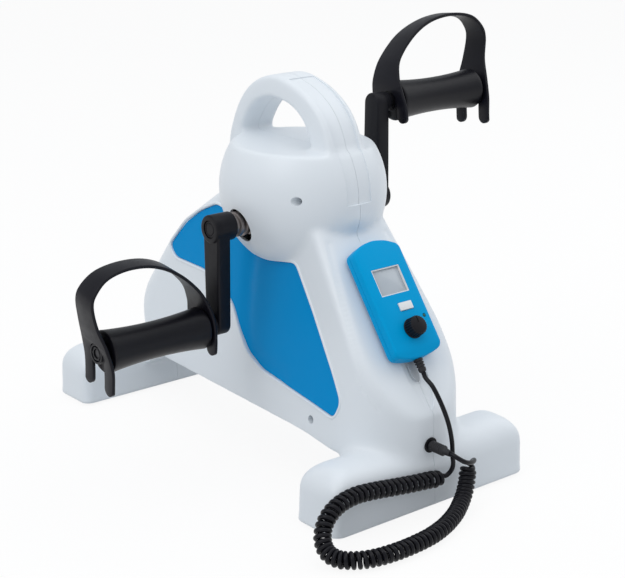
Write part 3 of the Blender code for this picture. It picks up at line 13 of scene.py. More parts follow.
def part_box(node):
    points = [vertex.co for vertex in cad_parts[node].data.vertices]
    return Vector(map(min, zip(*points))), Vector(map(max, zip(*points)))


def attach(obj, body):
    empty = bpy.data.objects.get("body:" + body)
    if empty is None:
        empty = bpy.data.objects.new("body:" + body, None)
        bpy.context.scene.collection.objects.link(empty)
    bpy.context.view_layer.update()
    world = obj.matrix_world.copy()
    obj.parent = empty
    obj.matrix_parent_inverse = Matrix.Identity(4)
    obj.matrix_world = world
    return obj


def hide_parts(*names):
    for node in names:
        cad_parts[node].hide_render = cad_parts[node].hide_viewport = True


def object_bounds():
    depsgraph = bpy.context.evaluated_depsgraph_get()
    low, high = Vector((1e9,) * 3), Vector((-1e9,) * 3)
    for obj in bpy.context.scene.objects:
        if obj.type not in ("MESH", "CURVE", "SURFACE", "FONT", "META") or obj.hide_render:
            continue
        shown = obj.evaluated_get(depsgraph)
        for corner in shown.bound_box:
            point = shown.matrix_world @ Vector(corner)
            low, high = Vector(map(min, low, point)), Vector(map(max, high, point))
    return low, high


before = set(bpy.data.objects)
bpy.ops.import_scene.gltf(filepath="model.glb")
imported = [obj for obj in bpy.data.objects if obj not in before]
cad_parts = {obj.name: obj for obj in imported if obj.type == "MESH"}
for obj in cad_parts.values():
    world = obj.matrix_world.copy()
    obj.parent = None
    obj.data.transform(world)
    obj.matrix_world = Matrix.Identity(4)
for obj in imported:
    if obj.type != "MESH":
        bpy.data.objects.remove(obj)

mm = 0.001
cad_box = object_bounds()


# Studio
# A plain pale floor under a soft daylight sky, with three broad lamps. The camera stands to the user's left,
# a little above the hand control, and looks down past it at the housing.
class Level:
    """A number that varies over a surface; arithmetic on it adds Math nodes to its tree."""

    def __init__(self, made_in, socket):
        self.made_in = made_in
        self.socket = socket

    def __add__(self, other):
        return self.made_in.node("ShaderNodeMath", {"operation": "ADD"}, {0: self, 1: other})

    def __mul__(self, other):
        return self.made_in.node("ShaderNodeMath", {"operation": "MULTIPLY"}, {0: self, 1: other})

    __radd__ = __add__  # for sum()


class Nodes:
    """A node tree that is built up by calls."""

    def __init__(self, tree):
        self.tree = tree

    def node(self, kind, settings, inputs, output=0):
        """One node: its settings, the values or links of its sockets, and the output that is used."""
        made = self.tree.nodes.new(kind)
        for label, value in settings.items():
            setattr(made, label, value)
        for label, value in inputs.items():
            if isinstance(value, Level):
                self.tree.links.new(value.socket, made.inputs[label])
            else:
                made.inputs[label].default_value = value
        return Level(self, made.outputs[output])

    def seen_by(self, *kinds):
        """1 for rays of these kinds, and 0 for all others."""
        rays = self.tree.nodes.new("ShaderNodeLightPath")
        return sum(Level(self, rays.outputs[f"Is {kind} Ray"]) for kind in kinds)

    def end_in(self, end, share, first, second):
        """Ends the tree in a mix of two shaders."""
        mix = self.tree.nodes.new("ShaderNodeMixShader")
        for socket, source in zip(mix.inputs, (share.socket, first.outputs[0], second.outputs[0])):
            self.tree.links.new(source, socket)
        self.tree.links.new(mix.outputs[0], self.tree.nodes[end].inputs["Surface"])


class Finish(Nodes):
    """A Principled material.

    The spots in its roughness are given as size, span, lowest value and detail, its grain as size, depth and
    detail, and its tints as two colours and the size of their spots.
    """

    def __init__(self, name, colour, spots=None, grain=None, tints=None, **fixed):
        self.material = bpy.data.materials.new(name)
        self.material.use_nodes = True
        super().__init__(self.material.node_tree)
        self.shader = self.tree.nodes["Principled BSDF"]
        self.place = self.node("ShaderNodeTexCoord", {}, {}, "Object")
        for label, value in {"Base_Color": (*colour, 1), **fixed}.items():
            self.shader.inputs[label.replace("_", " ")].default_value = value
        if spots:
            size, span, low, *detail = spots
            self.vary("Roughness", self.noise(size, *detail) * span + low)
        if grain:
            size, depth, *detail = grain
            relief = {"Height": self.noise(size, *detail), "Distance": depth, "Strength": 1.0}
            self.vary("Normal", self.node("ShaderNodeBump", {}, relief))
        if tints:
            self.vary("Base Color", self.between(*tints[:2], self.noise(tints[2])))

    def noise(self, size, detail=2.0):
        """Soft random spots about as wide as size, in metres."""
        inputs = {"Vector": self.place, "Scale": 1 / size, "Detail": detail}
        return self.node("ShaderNodeTexNoise", {}, inputs, "Fac")

    def between(self, first, second, share):
        """A colour on the way from the first to the second."""
        inputs = {0: share, 6: (*first, 1), 7: (*second, 1)}
        return self.node("ShaderNodeMix", {"data_type": "RGBA"}, inputs, 2)

    def vary(self, label, level):
        self.tree.links.new(level.socket, self.shader.inputs[label])


def placed(name, data):
    """An object in the scene."""
    made = bpy.data.objects.new(name, data)
    bpy.context.scene.collection.objects.link(made)
    return made


def solid(name, shape, place=Matrix()):
    """An object with that shape, put in its place in the scene, its faces pointing outwards."""
    bmesh.ops.transform(shape, matrix=place, verts=shape.verts)
    bmesh.ops.recalc_face_normals(shape, faces=shape.faces)
    mesh = bpy.data.meshes.new(name)
    shape.to_mesh(mesh)
    shape.free()
    return placed(name, mesh)


FLOOR_HALF = 9.0
FLOOR_WHITE = (0.95, 0.955, 0.96)
FLOOR_BOUNCE = (0.60, 0.615, 0.63)  # what the floor gives back to the object
FLOOR_GLOW = 0.90  # the share of plain white that the floor shows; the rest takes the shadow
floor_shape = bmesh.new()
bmesh.ops.create_grid(floor_shape, x_segments=1, y_segments=1, size=FLOOR_HALF)
floor = solid("studio_floor", floor_shape)
paint = Finish("floor_paint", FLOOR_WHITE, Roughness=0.9)
seen = paint.seen_by("Camera", "Glossy", "Transmission")
paint.vary("Base Color", paint.between(FLOOR_BOUNCE, FLOOR_WHITE, seen))
glow = paint.tree.nodes.new("ShaderNodeEmission")
paint.end_in("Material Output", seen * FLOOR_GLOW, paint.shader, glow)
floor.data.materials.append(paint.material)

SKY = (0.93, 0.96, 1.0)
SKY_LEVEL = 0.65
world = bpy.data.worlds.new("studio_sky")
bpy.context.scene.world = world
world.use_nodes = True
sky = Nodes(world.node_tree)
light = sky.tree.nodes["Background"]
backdrop = sky.tree.nodes.new("ShaderNodeBackground")
for shader, colour, level in ((light, SKY, SKY_LEVEL), (backdrop, (1, 1, 1), 1.0)):
    shader.inputs["Color"].default_value = (*colour, 1)
    shader.inputs["Strength"].default_value = level
sky.end_in("World Output", sky.seen_by("Camera", "Transmission"), light, backdrop)

middle = (cad_box[0] + cad_box[1]) / 2
LAMPS = {"lamp_key": ((-1.9, -0.2, 1.9), 1.6, 16), "lamp_fill": ((1.8, -0.3, 1.4), 1.8, 9),
         "lamp_top": ((0.1, -0.2, 2.3), 1.8, 10)}
for name, (place, width, power) in LAMPS.items():
    lamp = placed(name, bpy.data.lights.new(name, "AREA"))
    lamp.data.size = width
    lamp.data.energy = power
    lamp.location = place
    lamp.rotation_euler = (middle - Vector(place)).to_track_quat("-Z", "Y").to_euler()

CAMERA_PLACE = (-0.9084, -1.1624, 0.6178)
CAMERA_AZIMUTH = math.radians(-39.3585)
CAMERA_ELEVATION = math.radians(17.6682)
FOCAL_PIXELS = 1601.5455
PHOTO_WIDTH = 625  # pixels
SENSOR_WIDTH = 36  # in mm, as Blender has it
level_back = Vector((math.sin(CAMERA_AZIMUTH), -math.cos(CAMERA_AZIMUTH), 0)) * math.cos(CAMERA_ELEVATION)
camera = placed("camera", bpy.data.cameras.new("camera"))
camera.data.sensor_width = SENSOR_WIDTH
camera.data.lens = SENSOR_WIDTH * FOCAL_PIXELS / PHOTO_WIDTH
camera.location = CAMERA_PLACE
towards = -(level_back + Vector((0, 0, math.sin(CAMERA_ELEVATION))))
camera.rotation_euler = towards.to_track_quat("-Z", "Y").to_euler()
bpy.context.scene.camera = camera
bpy.context.scene.view_settings.view_transform = "Standard"


# Housing
# Two white ABS mouldings that meet on the machine's middle plane: flanks, sloping console, column, head,
# carrying handle and both bar feet, hollow inside. Their blends are soft, as the mould's are, while the seam,
# the recesses and the holes are crisp. Screws from the left pull the halves together.
FIT = 0.3 * mm
CRANK_Y = -35.4 * mm
CONSOLE_SLOPE = math.radians(53.3)
CONSOLE_FOOT = Vector((0, -192.349, 128)) * mm
console = Matrix.Translation(CONSOLE_FOOT) @ Matrix.Rotation(CONSOLE_SLOPE, 4, "X")


def smooth_line(points, between):
    """Points on the smooth curve through the given ones."""
    p = [Vector(q) for q in points]
    p = [p[0] * 2 - p[1], *p, p[-1] * 2 - p[-2]]
    out = []
    for i in range(1, len(p) - 2):
        for k in range(between):
            t = k / between
            out.append(0.5 * (2 * p[i] + (p[i + 1] - p[i - 1]) * t
                              + (2 * p[i - 1] - 5 * p[i] + 4 * p[i + 1] - p[i + 2]) * t ** 2
                              + (3 * p[i] - p[i - 1] - 3 * p[i + 1] + p[i + 2]) * t ** 3))
    return [*out, p[-2]]


def worked(piece, kind, **settings):
    """Applies one modifier to a piece's mesh."""
    change = piece.modifiers.new("change", kind)
    for label, value in settings.items():
        setattr(change, label, value)
    done = piece.evaluated_get(bpy.context.evaluated_depsgraph_get())
    mesh = bpy.data.meshes.new_from_object(done)
    piece.modifiers.clear()
    piece.data = mesh
    return piece


def combine(piece, *tools, operation="DIFFERENCE"):
    """Cuts, joins or meets a piece with others, which are used up."""
    for tool in tools:
        worked(piece, "BOOLEAN", object=tool, operation=operation, solver="MANIFOLD")
        bpy.data.objects.remove(tool)
    return piece


def lofted(name, rings):
    """A closed form drawn up through rings of equally many points."""
    shape = bmesh.new()
    end = shape.faces.new([shape.verts.new(p) for p in rings[0]])
    for number, ring in enumerate(rings[1:]):
        made = bmesh.ops.extrude_face_region(shape, geom=[end])["geom"]
        if number:
            bmesh.ops.delete(shape, geom=[end], context="FACES_ONLY")
        end = next(part for part in made if isinstance(part, bmesh.types.BMFace))
        for vert, place in zip(end.verts, ring):
            vert.co = place
    return solid(name, shape)


def raised(shape, faces, by):
    """Draws faces up along Z."""
    made = bmesh.ops.extrude_face_region(shape, geom=faces)["geom"]
    verts = [part for part in made if isinstance(part, bmesh.types.BMVert)]
    bmesh.ops.translate(shape, vec=(0, 0, by), verts=verts)


def plate(name, outline, low, high, place, rim=0.0):
    """A flat outline drawn out from one level to another along the place's Z, with its rims rounded."""
    shape = bmesh.new()
    raised(shape, [shape.faces.new([shape.verts.new((x, y, low)) for x, y in outline])], high - low)
    bmesh.ops.recalc_face_normals(shape, faces=shape.faces)
    for level, width in zip((low, high), rim if isinstance(rim, tuple) else (rim, rim)):
        if width:
            edges = [e for e in shape.edges if all(abs(v.co.z - level) < FIT / 10 for v in e.verts)]
            bmesh.ops.bevel(shape, geom=edges, offset=width, segments=4, profile=0.5, affect="EDGES",
                            material=-1)
    return solid(name, shape, place)


def rod(name, radius, start, stop, place, sides):
    """A round bar along the place's Z."""
    shape = bmesh.new()
    bmesh.ops.create_cone(shape, cap_ends=True, segments=sides, radius1=radius, radius2=radius,
                          depth=stop - start)
    return solid(name, shape, place @ Matrix.Translation((0, 0, (start + stop) / 2)))


def arc(middle, radius, start, stop, steps):
    """Points on an arc, its angles in degrees."""
    angles = [math.radians(start + (stop - start) * k / steps) for k in range(steps + 1)]
    return [(middle[0] + radius * math.cos(a), middle[1] + radius * math.sin(a)) for a in angles]


def in_mm(points):
    return [tuple(value * mm for value in point) for point in points]


def corners(outline):
    """Each point of a closed outline, between the one before it and the one after."""
    spots = [Vector(p) for p in outline]
    return zip(spots[-1:] + spots, spots, spots[1:] + spots[:1])


def rounded(points, radius, steps=6):
    """A closed outline with its corners rounded off."""
    out = []
    for before, here, after in corners(points):
        to_before = (before - here).normalized() * min(radius, (before - here).length / 2.2)
        to_after = (after - here).normalized() * min(radius, (after - here).length / 2.2)
        for k in range(steps + 1):
            t = k / steps
            out.append(tuple((here + to_before * (1 - t)) * (1 - t) + (here + to_after * t) * t))
    return out


LENGTH = 455 * mm
CRANK_BACK = 192.1 * mm  # crank axis behind the front foot's edge
CRANK_Z = 233.4 * mm
WALL = 2.8 * mm
SEAM = 0.15 * mm  # each half stops this far from the middle
FLANK_HALF = 61.7 * mm
FLANK_TAPER = 0.055
FLANK_DRAFT = 0.10
BODY_BOTTOM = 54 * mm
BODY_LOW = 26 * mm  # the form is drawn from here, and the underside is then cut
CHIN = (-62 * mm, 9 * mm)
HEEL = (165 * mm, 20 * mm)
BODY_TOP = 264 * mm
COLUMN_SETBACK = 3.1 * mm
COLUMN_FLAT = 14 * mm
LIP_Z = 85 * mm
RIDGE_ROUND = 11 * mm
REAR_ROUND = 30 * mm
SPINE = [(218, 52), (222, 72), (228, 95), (223, 116), (208, 138), (183, 172), (150, 203), (108, 232),
         (58, 264)]
HEAD_R = (75 * mm, 82 * mm, 79 * mm)
HEAD_BACK = -5 * mm
HEAD_Z = 258 * mm
SADDLE_Z = 301 * mm
BULB_R = (45 * mm, 49 * mm, 33 * mm)
BULB_BACK = -38 * mm
BULB_Z = 247 * mm
HANDLE_WIDTH = 41 * mm
HANDLE_ROUND = 4.5 * mm
HANDLE_OUTER = [(-77, 262), (-75, 280), (-69, 305), (-57, 329), (-38, 346), (-12, 357), (16, 361), (44, 352),
                (65, 333), (79, 306), (84, 284), (82, 262)]
HANDLE_INNER = [(60, 262), (65, 283), (63, 303), (51, 323), (36, 335), (17, 340), (-8, 337), (-27, 326),
                (-38, 308), (-43, 287), (-46, 262)]
FOOT_HALF = 116 * mm
FOOT_HEIGHT = 58 * mm
FRONT_FOOT_DEPTH = 59 * mm
REAR_FOOT_DEPTH = 55 * mm
FOOT_ROUND = 24 * mm
FOOT_CORNER = 10 * mm
FOOT_FLARE = 1.6 * mm
VOXEL = 2 * mm
SOFTNESS = 12
JOINT_X, JOINT_WIDE = 46 * mm, 40 * mm  # where the column's foot runs out softly into the front foot
JOINT_Z, JOINT_HIGH = 62 * mm, 24 * mm
JOINT_LONG = 44 * mm
JOINT_SOFTNESS = 60
RIM_SPARE = 3 * mm  # left under the skirt while the form is blended, then cut off for a sharp rim
PAD_HEIGHT = 2 * mm
# These draw an outline in Y and Z out along X, from the shaft's middle and from the crank axis on the floor
upright = Matrix(((0, 0, 1, 0), (1, 0, 0, 0), (0, 1, 0, 0), (0, 0, 0, 1)))
FACING = Matrix.Translation((0, CRANK_Y, 0)) @ upright
COLUMN_Y = COLUMN_SETBACK - CRANK_BACK
REAR_FOOT_FRONT = LENGTH - CRANK_BACK - REAR_FOOT_DEPTH
FRONT_FOOT_Y = -CRANK_BACK + FRONT_FOOT_DEPTH / 2
REAR_FOOT_Y = LENGTH - CRANK_BACK - REAR_FOOT_DEPTH / 2
spine_line = np.array(smooth_line(in_mm(SPINE), 8))


def spine_at(z):
    """How far behind the crank axis the spine stands at one height."""
    return float(np.interp(z, spine_line[:, 1], spine_line[:, 0]))


def half_width(y, z):
    return FLANK_HALF - FLANK_TAPER * y - FLANK_DRAFT * z


def plan(z, inset=0.0):
    """Half of the body's outline at one height, from the front's middle round to the rear's."""
    def wide(y):
        return half_width(y, z) - inset

    radius = wide(COLUMN_Y + inset) / (1 + FLANK_TAPER)
    middle = COLUMN_Y + inset + radius
    flat = middle - math.sqrt(radius ** 2 - COLUMN_FLAT ** 2)
    slope = COLUMN_Y + (z - LIP_Z) / math.tan(CONSOLE_SLOPE) + inset / math.sin(CONSOLE_SLOPE)
    front = max(flat, slope)
    reach = math.sqrt(radius ** 2 - (middle - front) ** 2) if front < middle else wide(front)
    ease = min(RIDGE_ROUND, 0.45 * reach)
    turn = math.asin(min(1, reach / radius)) if front < middle else math.pi / 2
    past = turn + ease / radius
    if front < middle and past < math.pi / 2:
        after = (radius * math.sin(past), middle - radius * math.cos(past))
    else:
        after = (wide(max(front + ease, middle)), max(front + ease, middle))
    points = [((reach - ease) * k / 6, front) for k in range(7)]
    corner = (Vector((reach - ease, front)), Vector((reach, front)), Vector(after))
    for t in (0.15, 0.3, 0.45, 0.6, 0.75, 0.9, 1.0):
        points.append(tuple(corner[0] * (1 - t) ** 2 + corner[1] * 2 * t * (1 - t) + corner[2] * t ** 2))
    if after[1] < middle:
        angles = [past + (math.pi / 2 - past) * k / 10 for k in range(1, 11)]
        points += [(radius * math.sin(a), middle - radius * math.cos(a)) for a in angles]
    else:
        points += [(wide(after[1] + k * mm), after[1] + k * mm) for k in range(1, 11)]
    rear = spine_at(z) - inset
    bend = max(REAR_ROUND - inset, 2 * mm)
    start, stop = points[-1][1], rear - bend
    points += [(wide(start + (stop - start) * k / 8), start + (stop - start) * k / 8) for k in range(1, 9)]
    side = wide(stop)
    points += arc((side - bend, stop), bend, 11.25, 90, 7)
    return [*points, (0, rear)]


def ring_at(z, inset=0.0):
    half = plan(z, inset)
    return [(x, y + CRANK_Y, z) for x, y in half + [(-x, y) for x, y in half[-2:0:-1]]]


def underside(name, inset=0.0, first=-LENGTH, last=LENGTH):
    """What is cut from under the body: it comes down in an ogee to the column and to the rear foot."""
    line = []
    for k in range(121):
        y = first + (last - first) * k / 120
        low = BODY_BOTTOM + inset
        for (start, depth), stop in ((CHIN, COLUMN_Y), (HEEL, REAR_FOOT_FRONT)):
            t = min(1.0, max(0.0, (y - start) / (stop - start)))
            low -= depth * t * t * (3 - 2 * t)
        line.append((y, low))
    return plate(name, [*line, (last, -LENGTH), (first, -LENGTH)], -LENGTH, LENGTH, FACING)


def foot_form(name, middle_y, depth, inset=0.0):
    """A loaf-shaped bar: upright sides, a slight flare at the floor, a round top and round ends."""
    base = PAD_HEIGHT + inset
    top = FOOT_HEIGHT - inset
    bend = FOOT_ROUND - inset
    levels = [(base, FOOT_FLARE - mm), (base + mm, FOOT_FLARE), (base + 5 * mm, FOOT_FLARE / 3)]
    levels += [(top - bend + bend * math.sin(a), -bend * (1 - math.cos(a)))
               for a in (0, 0.2, 0.4, 0.6, 0.8, 1.0, 1.2, 1.35, 1.5)]
    rings = []
    for z, out in levels:
        a = FOOT_HALF - FOOT_FLARE - inset + out
        b = depth / 2 - FOOT_FLARE - inset + out
        corner = min(FOOT_CORNER, b * 0.9)
        ring = []
        for sx, sy, first in ((1, -1, -90), (1, 1, 0), (-1, 1, 90), (-1, -1, 180)):
            middle = (sx * (a - corner), middle_y + CRANK_Y + sy * (b - corner))
            ring += [(x, y, z) for x, y in arc(middle, corner, first, first + 90, 6)]
        rings.append(ring)
    return lofted(name, rings)


def egg(name, radii, back, height, inset=0.0, top=None, around=96):
    """An ellipsoid on the middle plane, cut off flat at top."""
    shape = bmesh.new()
    bmesh.ops.create_uvsphere(shape, u_segments=around, v_segments=around // 2, radius=1)
    bmesh.ops.scale(shape, vec=[r - inset for r in radii], verts=shape.verts)
    bmesh.ops.translate(shape, vec=(0, back + CRANK_Y, height), verts=shape.verts)
    if top is not None:
        bmesh.ops.bisect_plane(shape, geom=[*shape.verts, *shape.edges, *shape.faces], plane_co=(0, 0, top),
                               plane_no=(0, 0, 1), clear_outer=True)
        bmesh.ops.holes_fill(shape, edges=[e for e in shape.edges if e.is_boundary], sides=0)
    return solid(name, shape)


def feet(inset=0.0):
    return (foot_form("front_foot", FRONT_FOOT_Y, FRONT_FOOT_DEPTH, inset),
            foot_form("rear_foot", REAR_FOOT_Y, REAR_FOOT_DEPTH, inset))


def housing_form():
    """The outer form in one skin, with its pieces blended into one another."""
    levels = sorted([*np.arange(BODY_LOW, BODY_TOP, 5 * mm), LIP_Z, BODY_TOP])
    body = combine(lofted("body", [ring_at(z) for z in levels]), underside("underside", -RIM_SPARE))
    arch = smooth_line(in_mm(HANDLE_OUTER), 6) + smooth_line(in_mm(HANDLE_INNER), 6)
    combine(body, egg("head", HEAD_R, HEAD_BACK, HEAD_Z, top=SADDLE_Z),
            egg("bulb", BULB_R, BULB_BACK, BULB_Z),
            plate("handle", arch, -HANDLE_WIDTH / 2, HANDLE_WIDTH / 2, FACING, HANDLE_ROUND), *feet(),
            operation="UNION")
    worked(body, "REMESH", mode="VOXEL", voxel_size=VOXEL)
    worked(body, "SMOOTH", factor=0.5, iterations=SOFTNESS)
    joint = body.vertex_groups.new(name="joint")
    for vert in body.data.vertices:
        y, z = vert.co.y - CRANK_Y, vert.co.z
        away = max(abs(z - JOINT_Z) / JOINT_HIGH, abs(abs(vert.co.x) - JOINT_X) / JOINT_WIDE,
                   abs(y - FRONT_FOOT_Y) / JOINT_LONG)
        if away < 1:
            joint.add([vert.index], 1 - away * away, "REPLACE")
    worked(body, "SMOOTH", factor=0.5, iterations=JOINT_SOFTNESS, vertex_group="joint")
    behind_foot = FRONT_FOOT_Y + FRONT_FOOT_DEPTH / 2
    return combine(body, underside("rim", 0, behind_foot + FIT, REAR_FOOT_FRONT - FIT))


def housing_room():
    """The space inside, one wall smaller."""
    levels = sorted([*(z * mm for z in (30, 52, 62, 72, 100, 138, 183, 232, 264)), LIP_Z])
    room = combine(lofted("room", [ring_at(z, WALL) for z in levels]), underside("room_floor", WALL))
    return combine(room, egg("head_room", HEAD_R, HEAD_BACK, HEAD_Z, WALL, SADDLE_Z - WALL, 32), *feet(WALL),
                   operation="UNION")


whole = housing_form()
room = housing_room()
white = Finish("white_abs", (0.79, 0.835, 0.875), (14 * mm, 0.10, 0.34), (0.9 * mm, 0.02 * mm, 3))


def offset(outline, by):
    """An outline listed counter-clockwise, moved outwards along its own normals."""
    out = []
    for before, here, after in corners(outline):
        first, second = (here - before).normalized(), (after - here).normalized()
        normal = Vector((first.y + second.y, -first.x - second.x)).normalized()
        out.append(tuple(here + normal * by / max(0.5, normal.dot(Vector((first.y, -first.x))))))
    return out


def flank_frame(side):
    """Local X runs along the flank, local Y up it, local Z straight out of it."""
    out = Vector((1, FLANK_TAPER, FLANK_DRAFT)).normalized()
    along = (Vector((0, 1, 0)) - out * out.y).normalized()
    up = out.cross(along)
    made = Matrix((along, up, out)).transposed().to_4x4()
    made.translation = Vector((FLANK_HALF, CRANK_Y, 0))
    return Matrix.Diagonal((-1, 1, 1, 1)) @ made if side < 0 else made


def on_flank(points):
    """Points given in Y from the crank axis and Z, in the flank's own plane."""
    basis = flank_frame(1).to_3x3()
    spots = [Vector((half_width(y, z) - FLANK_HALF, y, z)) for y, z in points]
    return [(spot.dot(basis.col[0]), spot.dot(basis.col[1])) for spot in spots]


def round_line(name, points, radius, closed=False):
    """A curve along a line, with a round section."""
    curve = bpy.data.curves.new(name, "CURVE")
    curve.dimensions = "3D"
    curve.bevel_depth = radius
    curve.bevel_resolution = 3
    curve.use_fill_caps = not closed
    line = curve.splines.new("POLY")
    line.points.add(len(points) - 1)
    for point, place in zip(line.points, points):
        point.co = (*place, 1)
    line.use_cyclic_u = closed
    line.use_smooth = True
    return placed(name, curve)


def ribbon(name, points, radius):
    """A round bead along a closed line."""
    line = round_line(name, points, radius, True)
    shape = bmesh.new()
    done = line.evaluated_get(bpy.context.evaluated_depsgraph_get())
    shape.from_mesh(bpy.data.meshes.new_from_object(done))
    bpy.data.objects.remove(line)
    bmesh.ops.remove_doubles(shape, verts=shape.verts, dist=FIT / 30)
    return solid(name, shape)


def fitted(piece, finish, body, slot, *replaced, sharp=35):
    """Gives a piece its finish and its body, and hides the solids that it stands for."""
    piece.data.shade_smooth()
    piece.data.set_sharp_from_angle(angle=math.radians(sharp))
    piece.data.materials.clear()
    piece.data.materials.append(finish.material)
    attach(piece, body)
    if replaced:
        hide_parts(*replaced)
    return piece


RECESS = 6 * mm
PANEL_OUTLINE = [(-49, 202), (-80, 165), (-117, 116), (-130, 96), (-122, 79), (-88, 83), (-8, 91), (17, 101),
                 (31, 117), (45, 139), (66, 153), (100, 161), (152, 161), (164, 171), (137, 200), (111, 217),
                 (84, 229), (66, 226), (50, 209), (24, 199), (-12, 196.5)]
PANEL_CORNER = 7 * mm
BEAD_R = 1.5 * mm
OPENING_R = 15.8 * mm
OPENING = (0, CRANK_Z - 2 * mm)
OPENING_FROM = 40 * mm  # the openings are cut between these distances from the middle
MARK_FROM = 50 * mm
OPENING_TO = 95 * mm
MARK_R = 1.3 * mm
MARK = (16 * mm, 204.5 * mm)  # a small moulding mark beside the crank's opening
SCREWS = ((-90 * mm, 67.5 * mm), (-62 * mm, 263.5 * mm))
SCREW_R = 1.8 * mm
SCREW_HEAD_R = 3.6 * mm
SCREW_HEAD_X = 10 * mm
BOSS_R = 5.5 * mm
JACK = (-4 * mm, 60 * mm)
JACK_R = 5.5 * mm
INLET_Z = 95 * mm
BAND_HALF = 14 * mm
BAND_DEPTH = (2.6 * mm, 1.0 * mm)  # at its foot and at the top
BAND_FOOT_Z = 257 * mm
BAND_CLEAR = 8 * mm
CREASE = [(-34, 122), (-37.5, 105), (-42, 82), (-46.5, 55), (-50.5, 28), (-53, 5), (-52.5, -14), (-47, -30)]
CREASE_DEPTH = 1.1 * mm
CREASE_HALF = 2.6 * mm
CREASE_REACH = 12 * mm  # what stands no farther than this from the console's plane is pressed
CHANNEL = [(-12, 8), (-12, -14), (-9.5, -28), (-6, -41), (0, -47), (6, -41), (9.5, -28), (12, -14), (12, 8)]
CHANNEL_DEPTH = 1.6 * mm
PAST = 20 * mm  # how far a cutter stands out
along_x = Matrix.Rotation(math.pi / 2, 4, "Y")
along_y = Matrix.Rotation(-math.pi / 2, 4, "X")


def crosswise(y, z):
    """A place from the crank axis and the floor, its Z along X."""
    return Matrix.Translation((0, y + CRANK_Y, z)) @ along_x


def creased(piece):
    """Presses a soft crease into the console, inside either of its edges."""
    line = np.array(smooth_line(in_mm(CREASE), 6))
    back = console.inverted()
    for vert in piece.data.vertices:
        x, s, height = back @ vert.co
        if abs(height) <= CREASE_REACH:
            away = np.hypot(line[:, 0] + abs(x), line[:, 1] - s).min()
            vert.co -= console.to_3x3().col[2] * CREASE_DEPTH * math.exp(-(away / CREASE_HALF) ** 2)


def handle_band():
    """What is cut from the handle's front: a band from a step on the head up to the top of the arch."""
    face = [Vector((HEAD_BACK - HEAD_R[1] * math.sqrt(1 - ((z - HEAD_Z) / HEAD_R[2]) ** 2), z))
            for z in np.linspace(BAND_FOOT_Z, SADDLE_Z, 10)]
    face += [p for p in smooth_line(in_mm(HANDLE_OUTER), 6) if p[1] > SADDLE_Z + 3 * mm and p[0] < 0]
    deep, clear = [], []
    for depth, p in zip(np.linspace(*BAND_DEPTH, len(face)), face):
        out = (p - Vector((0, HEAD_Z))).normalized()
        deep.append(p - out * float(depth))
        clear.append(p + out * BAND_CLEAR)
    return plate("handle_band", deep + clear[::-1], -BAND_HALF, BAND_HALF, FACING)


def screw_boss(side, y, z):
    """A tube for a screw, from the seam into the wall."""
    in_head = z > BODY_TOP - WALL
    reach = HEAD_R[0] if in_head else half_width(y, z) - WALL / 2
    boss = rod("boss", BOSS_R, *sorted((side * SEAM, side * reach)), crosswise(y, z), 24)
    if in_head:
        combine(boss, egg("boss_end", HEAD_R, HEAD_BACK, HEAD_Z, WALL / 2), operation="INTERSECT")
    return boss


creased(whole)
channel = rounded(in_mm(CHANNEL), 3 * mm)
combine(whole, handle_band(), plate("channel", channel, -CHANNEL_DEPTH, PAST, console, CHANNEL_DEPTH / 2))
panel_flat = on_flank(rounded(in_mm(PANEL_OUTLINE), PANEL_CORNER))
for side in (-1, 1):
    combine(room, plate("backing", offset(panel_flat, WALL), -RECESS - WALL, PAST, flank_frame(side)))
for side, hand in ((-1, "left"), (1, "right")):
    half = placed(f"moulded_half_{hand}", whole.data.copy())
    far_half = rod("far_half", 2 * LENGTH, *sorted((side * SEAM, -side * LENGTH)), along_x, 4)
    combine(half, far_half, placed("inner", room.data.copy()))
    flank = flank_frame(side)
    bead = [flank @ Vector((*p, -0.5 * mm)) for p in offset(panel_flat, BEAD_R)]
    combine(half, ribbon("bead", bead, BEAD_R), operation="UNION")
    combine(half, plate("recess", panel_flat, -RECESS, PAST, flank))
    for radius, place, start in ((OPENING_R, OPENING, OPENING_FROM), (MARK_R, MARK, MARK_FROM)):
        combine(half, rod("hole", radius, *sorted((side * start, side * OPENING_TO)), crosswise(*place), 48))
    for y, z in SCREWS:
        place = crosswise(y, z)
        combine(half, screw_boss(side, y, z), operation="UNION")
        combine(half, rod("screw_hole", SCREW_R + FIT, -SCREW_HEAD_X - mm, 10 * mm, place, 20))
        if side < 0:
            combine(half, rod("screw_sink", SCREW_HEAD_R + FIT, -LENGTH / 4, -SCREW_HEAD_X, place, 28))
    for x, y, z in ((JACK[0], COLUMN_Y, JACK[1]), (0, spine_at(INLET_Z), INLET_Z)):
        place = Matrix.Translation((x, y + CRANK_Y, z)) @ along_y
        combine(half, rod("jack_hole", JACK_R, -3 * WALL, 3 * WALL, place, 28))
    fitted(half, white, "base", "housing_white", f"housing_{hand}", sharp=32)
for used in (whole, room):
    bpy.data.objects.remove(used)


# Side panels
# Two blue ABS panels, one let into either flank. Each is dished: a soft fold runs down behind the crank and
# curls forwards along the lower edge.
FOLD = [(19, 206), (23, 184), (24, 162), (23.9, 142.5), (21.8, 123.5), (17.5, 110), (9.5, 102), (-4, 97.5),
        (-20, 95), (-38, 93)]
FOLD_DEPTH = 3.0 * mm
FOLD_HALF = 9 * mm
PANEL_TOP = 1.3 * mm  # below the flank, at its edge
PANEL_THICK = 1.5 * mm
GRID = 4 * mm
fold = np.array(smooth_line(on_flank(in_mm(FOLD)), 6))
blue = Finish("blue_abs", (0.0, 0.28, 0.65), (9 * mm, 0.12, 0.40), (0.6 * mm, 0.03 * mm, 3),
              Specular_IOR_Level=0.06)


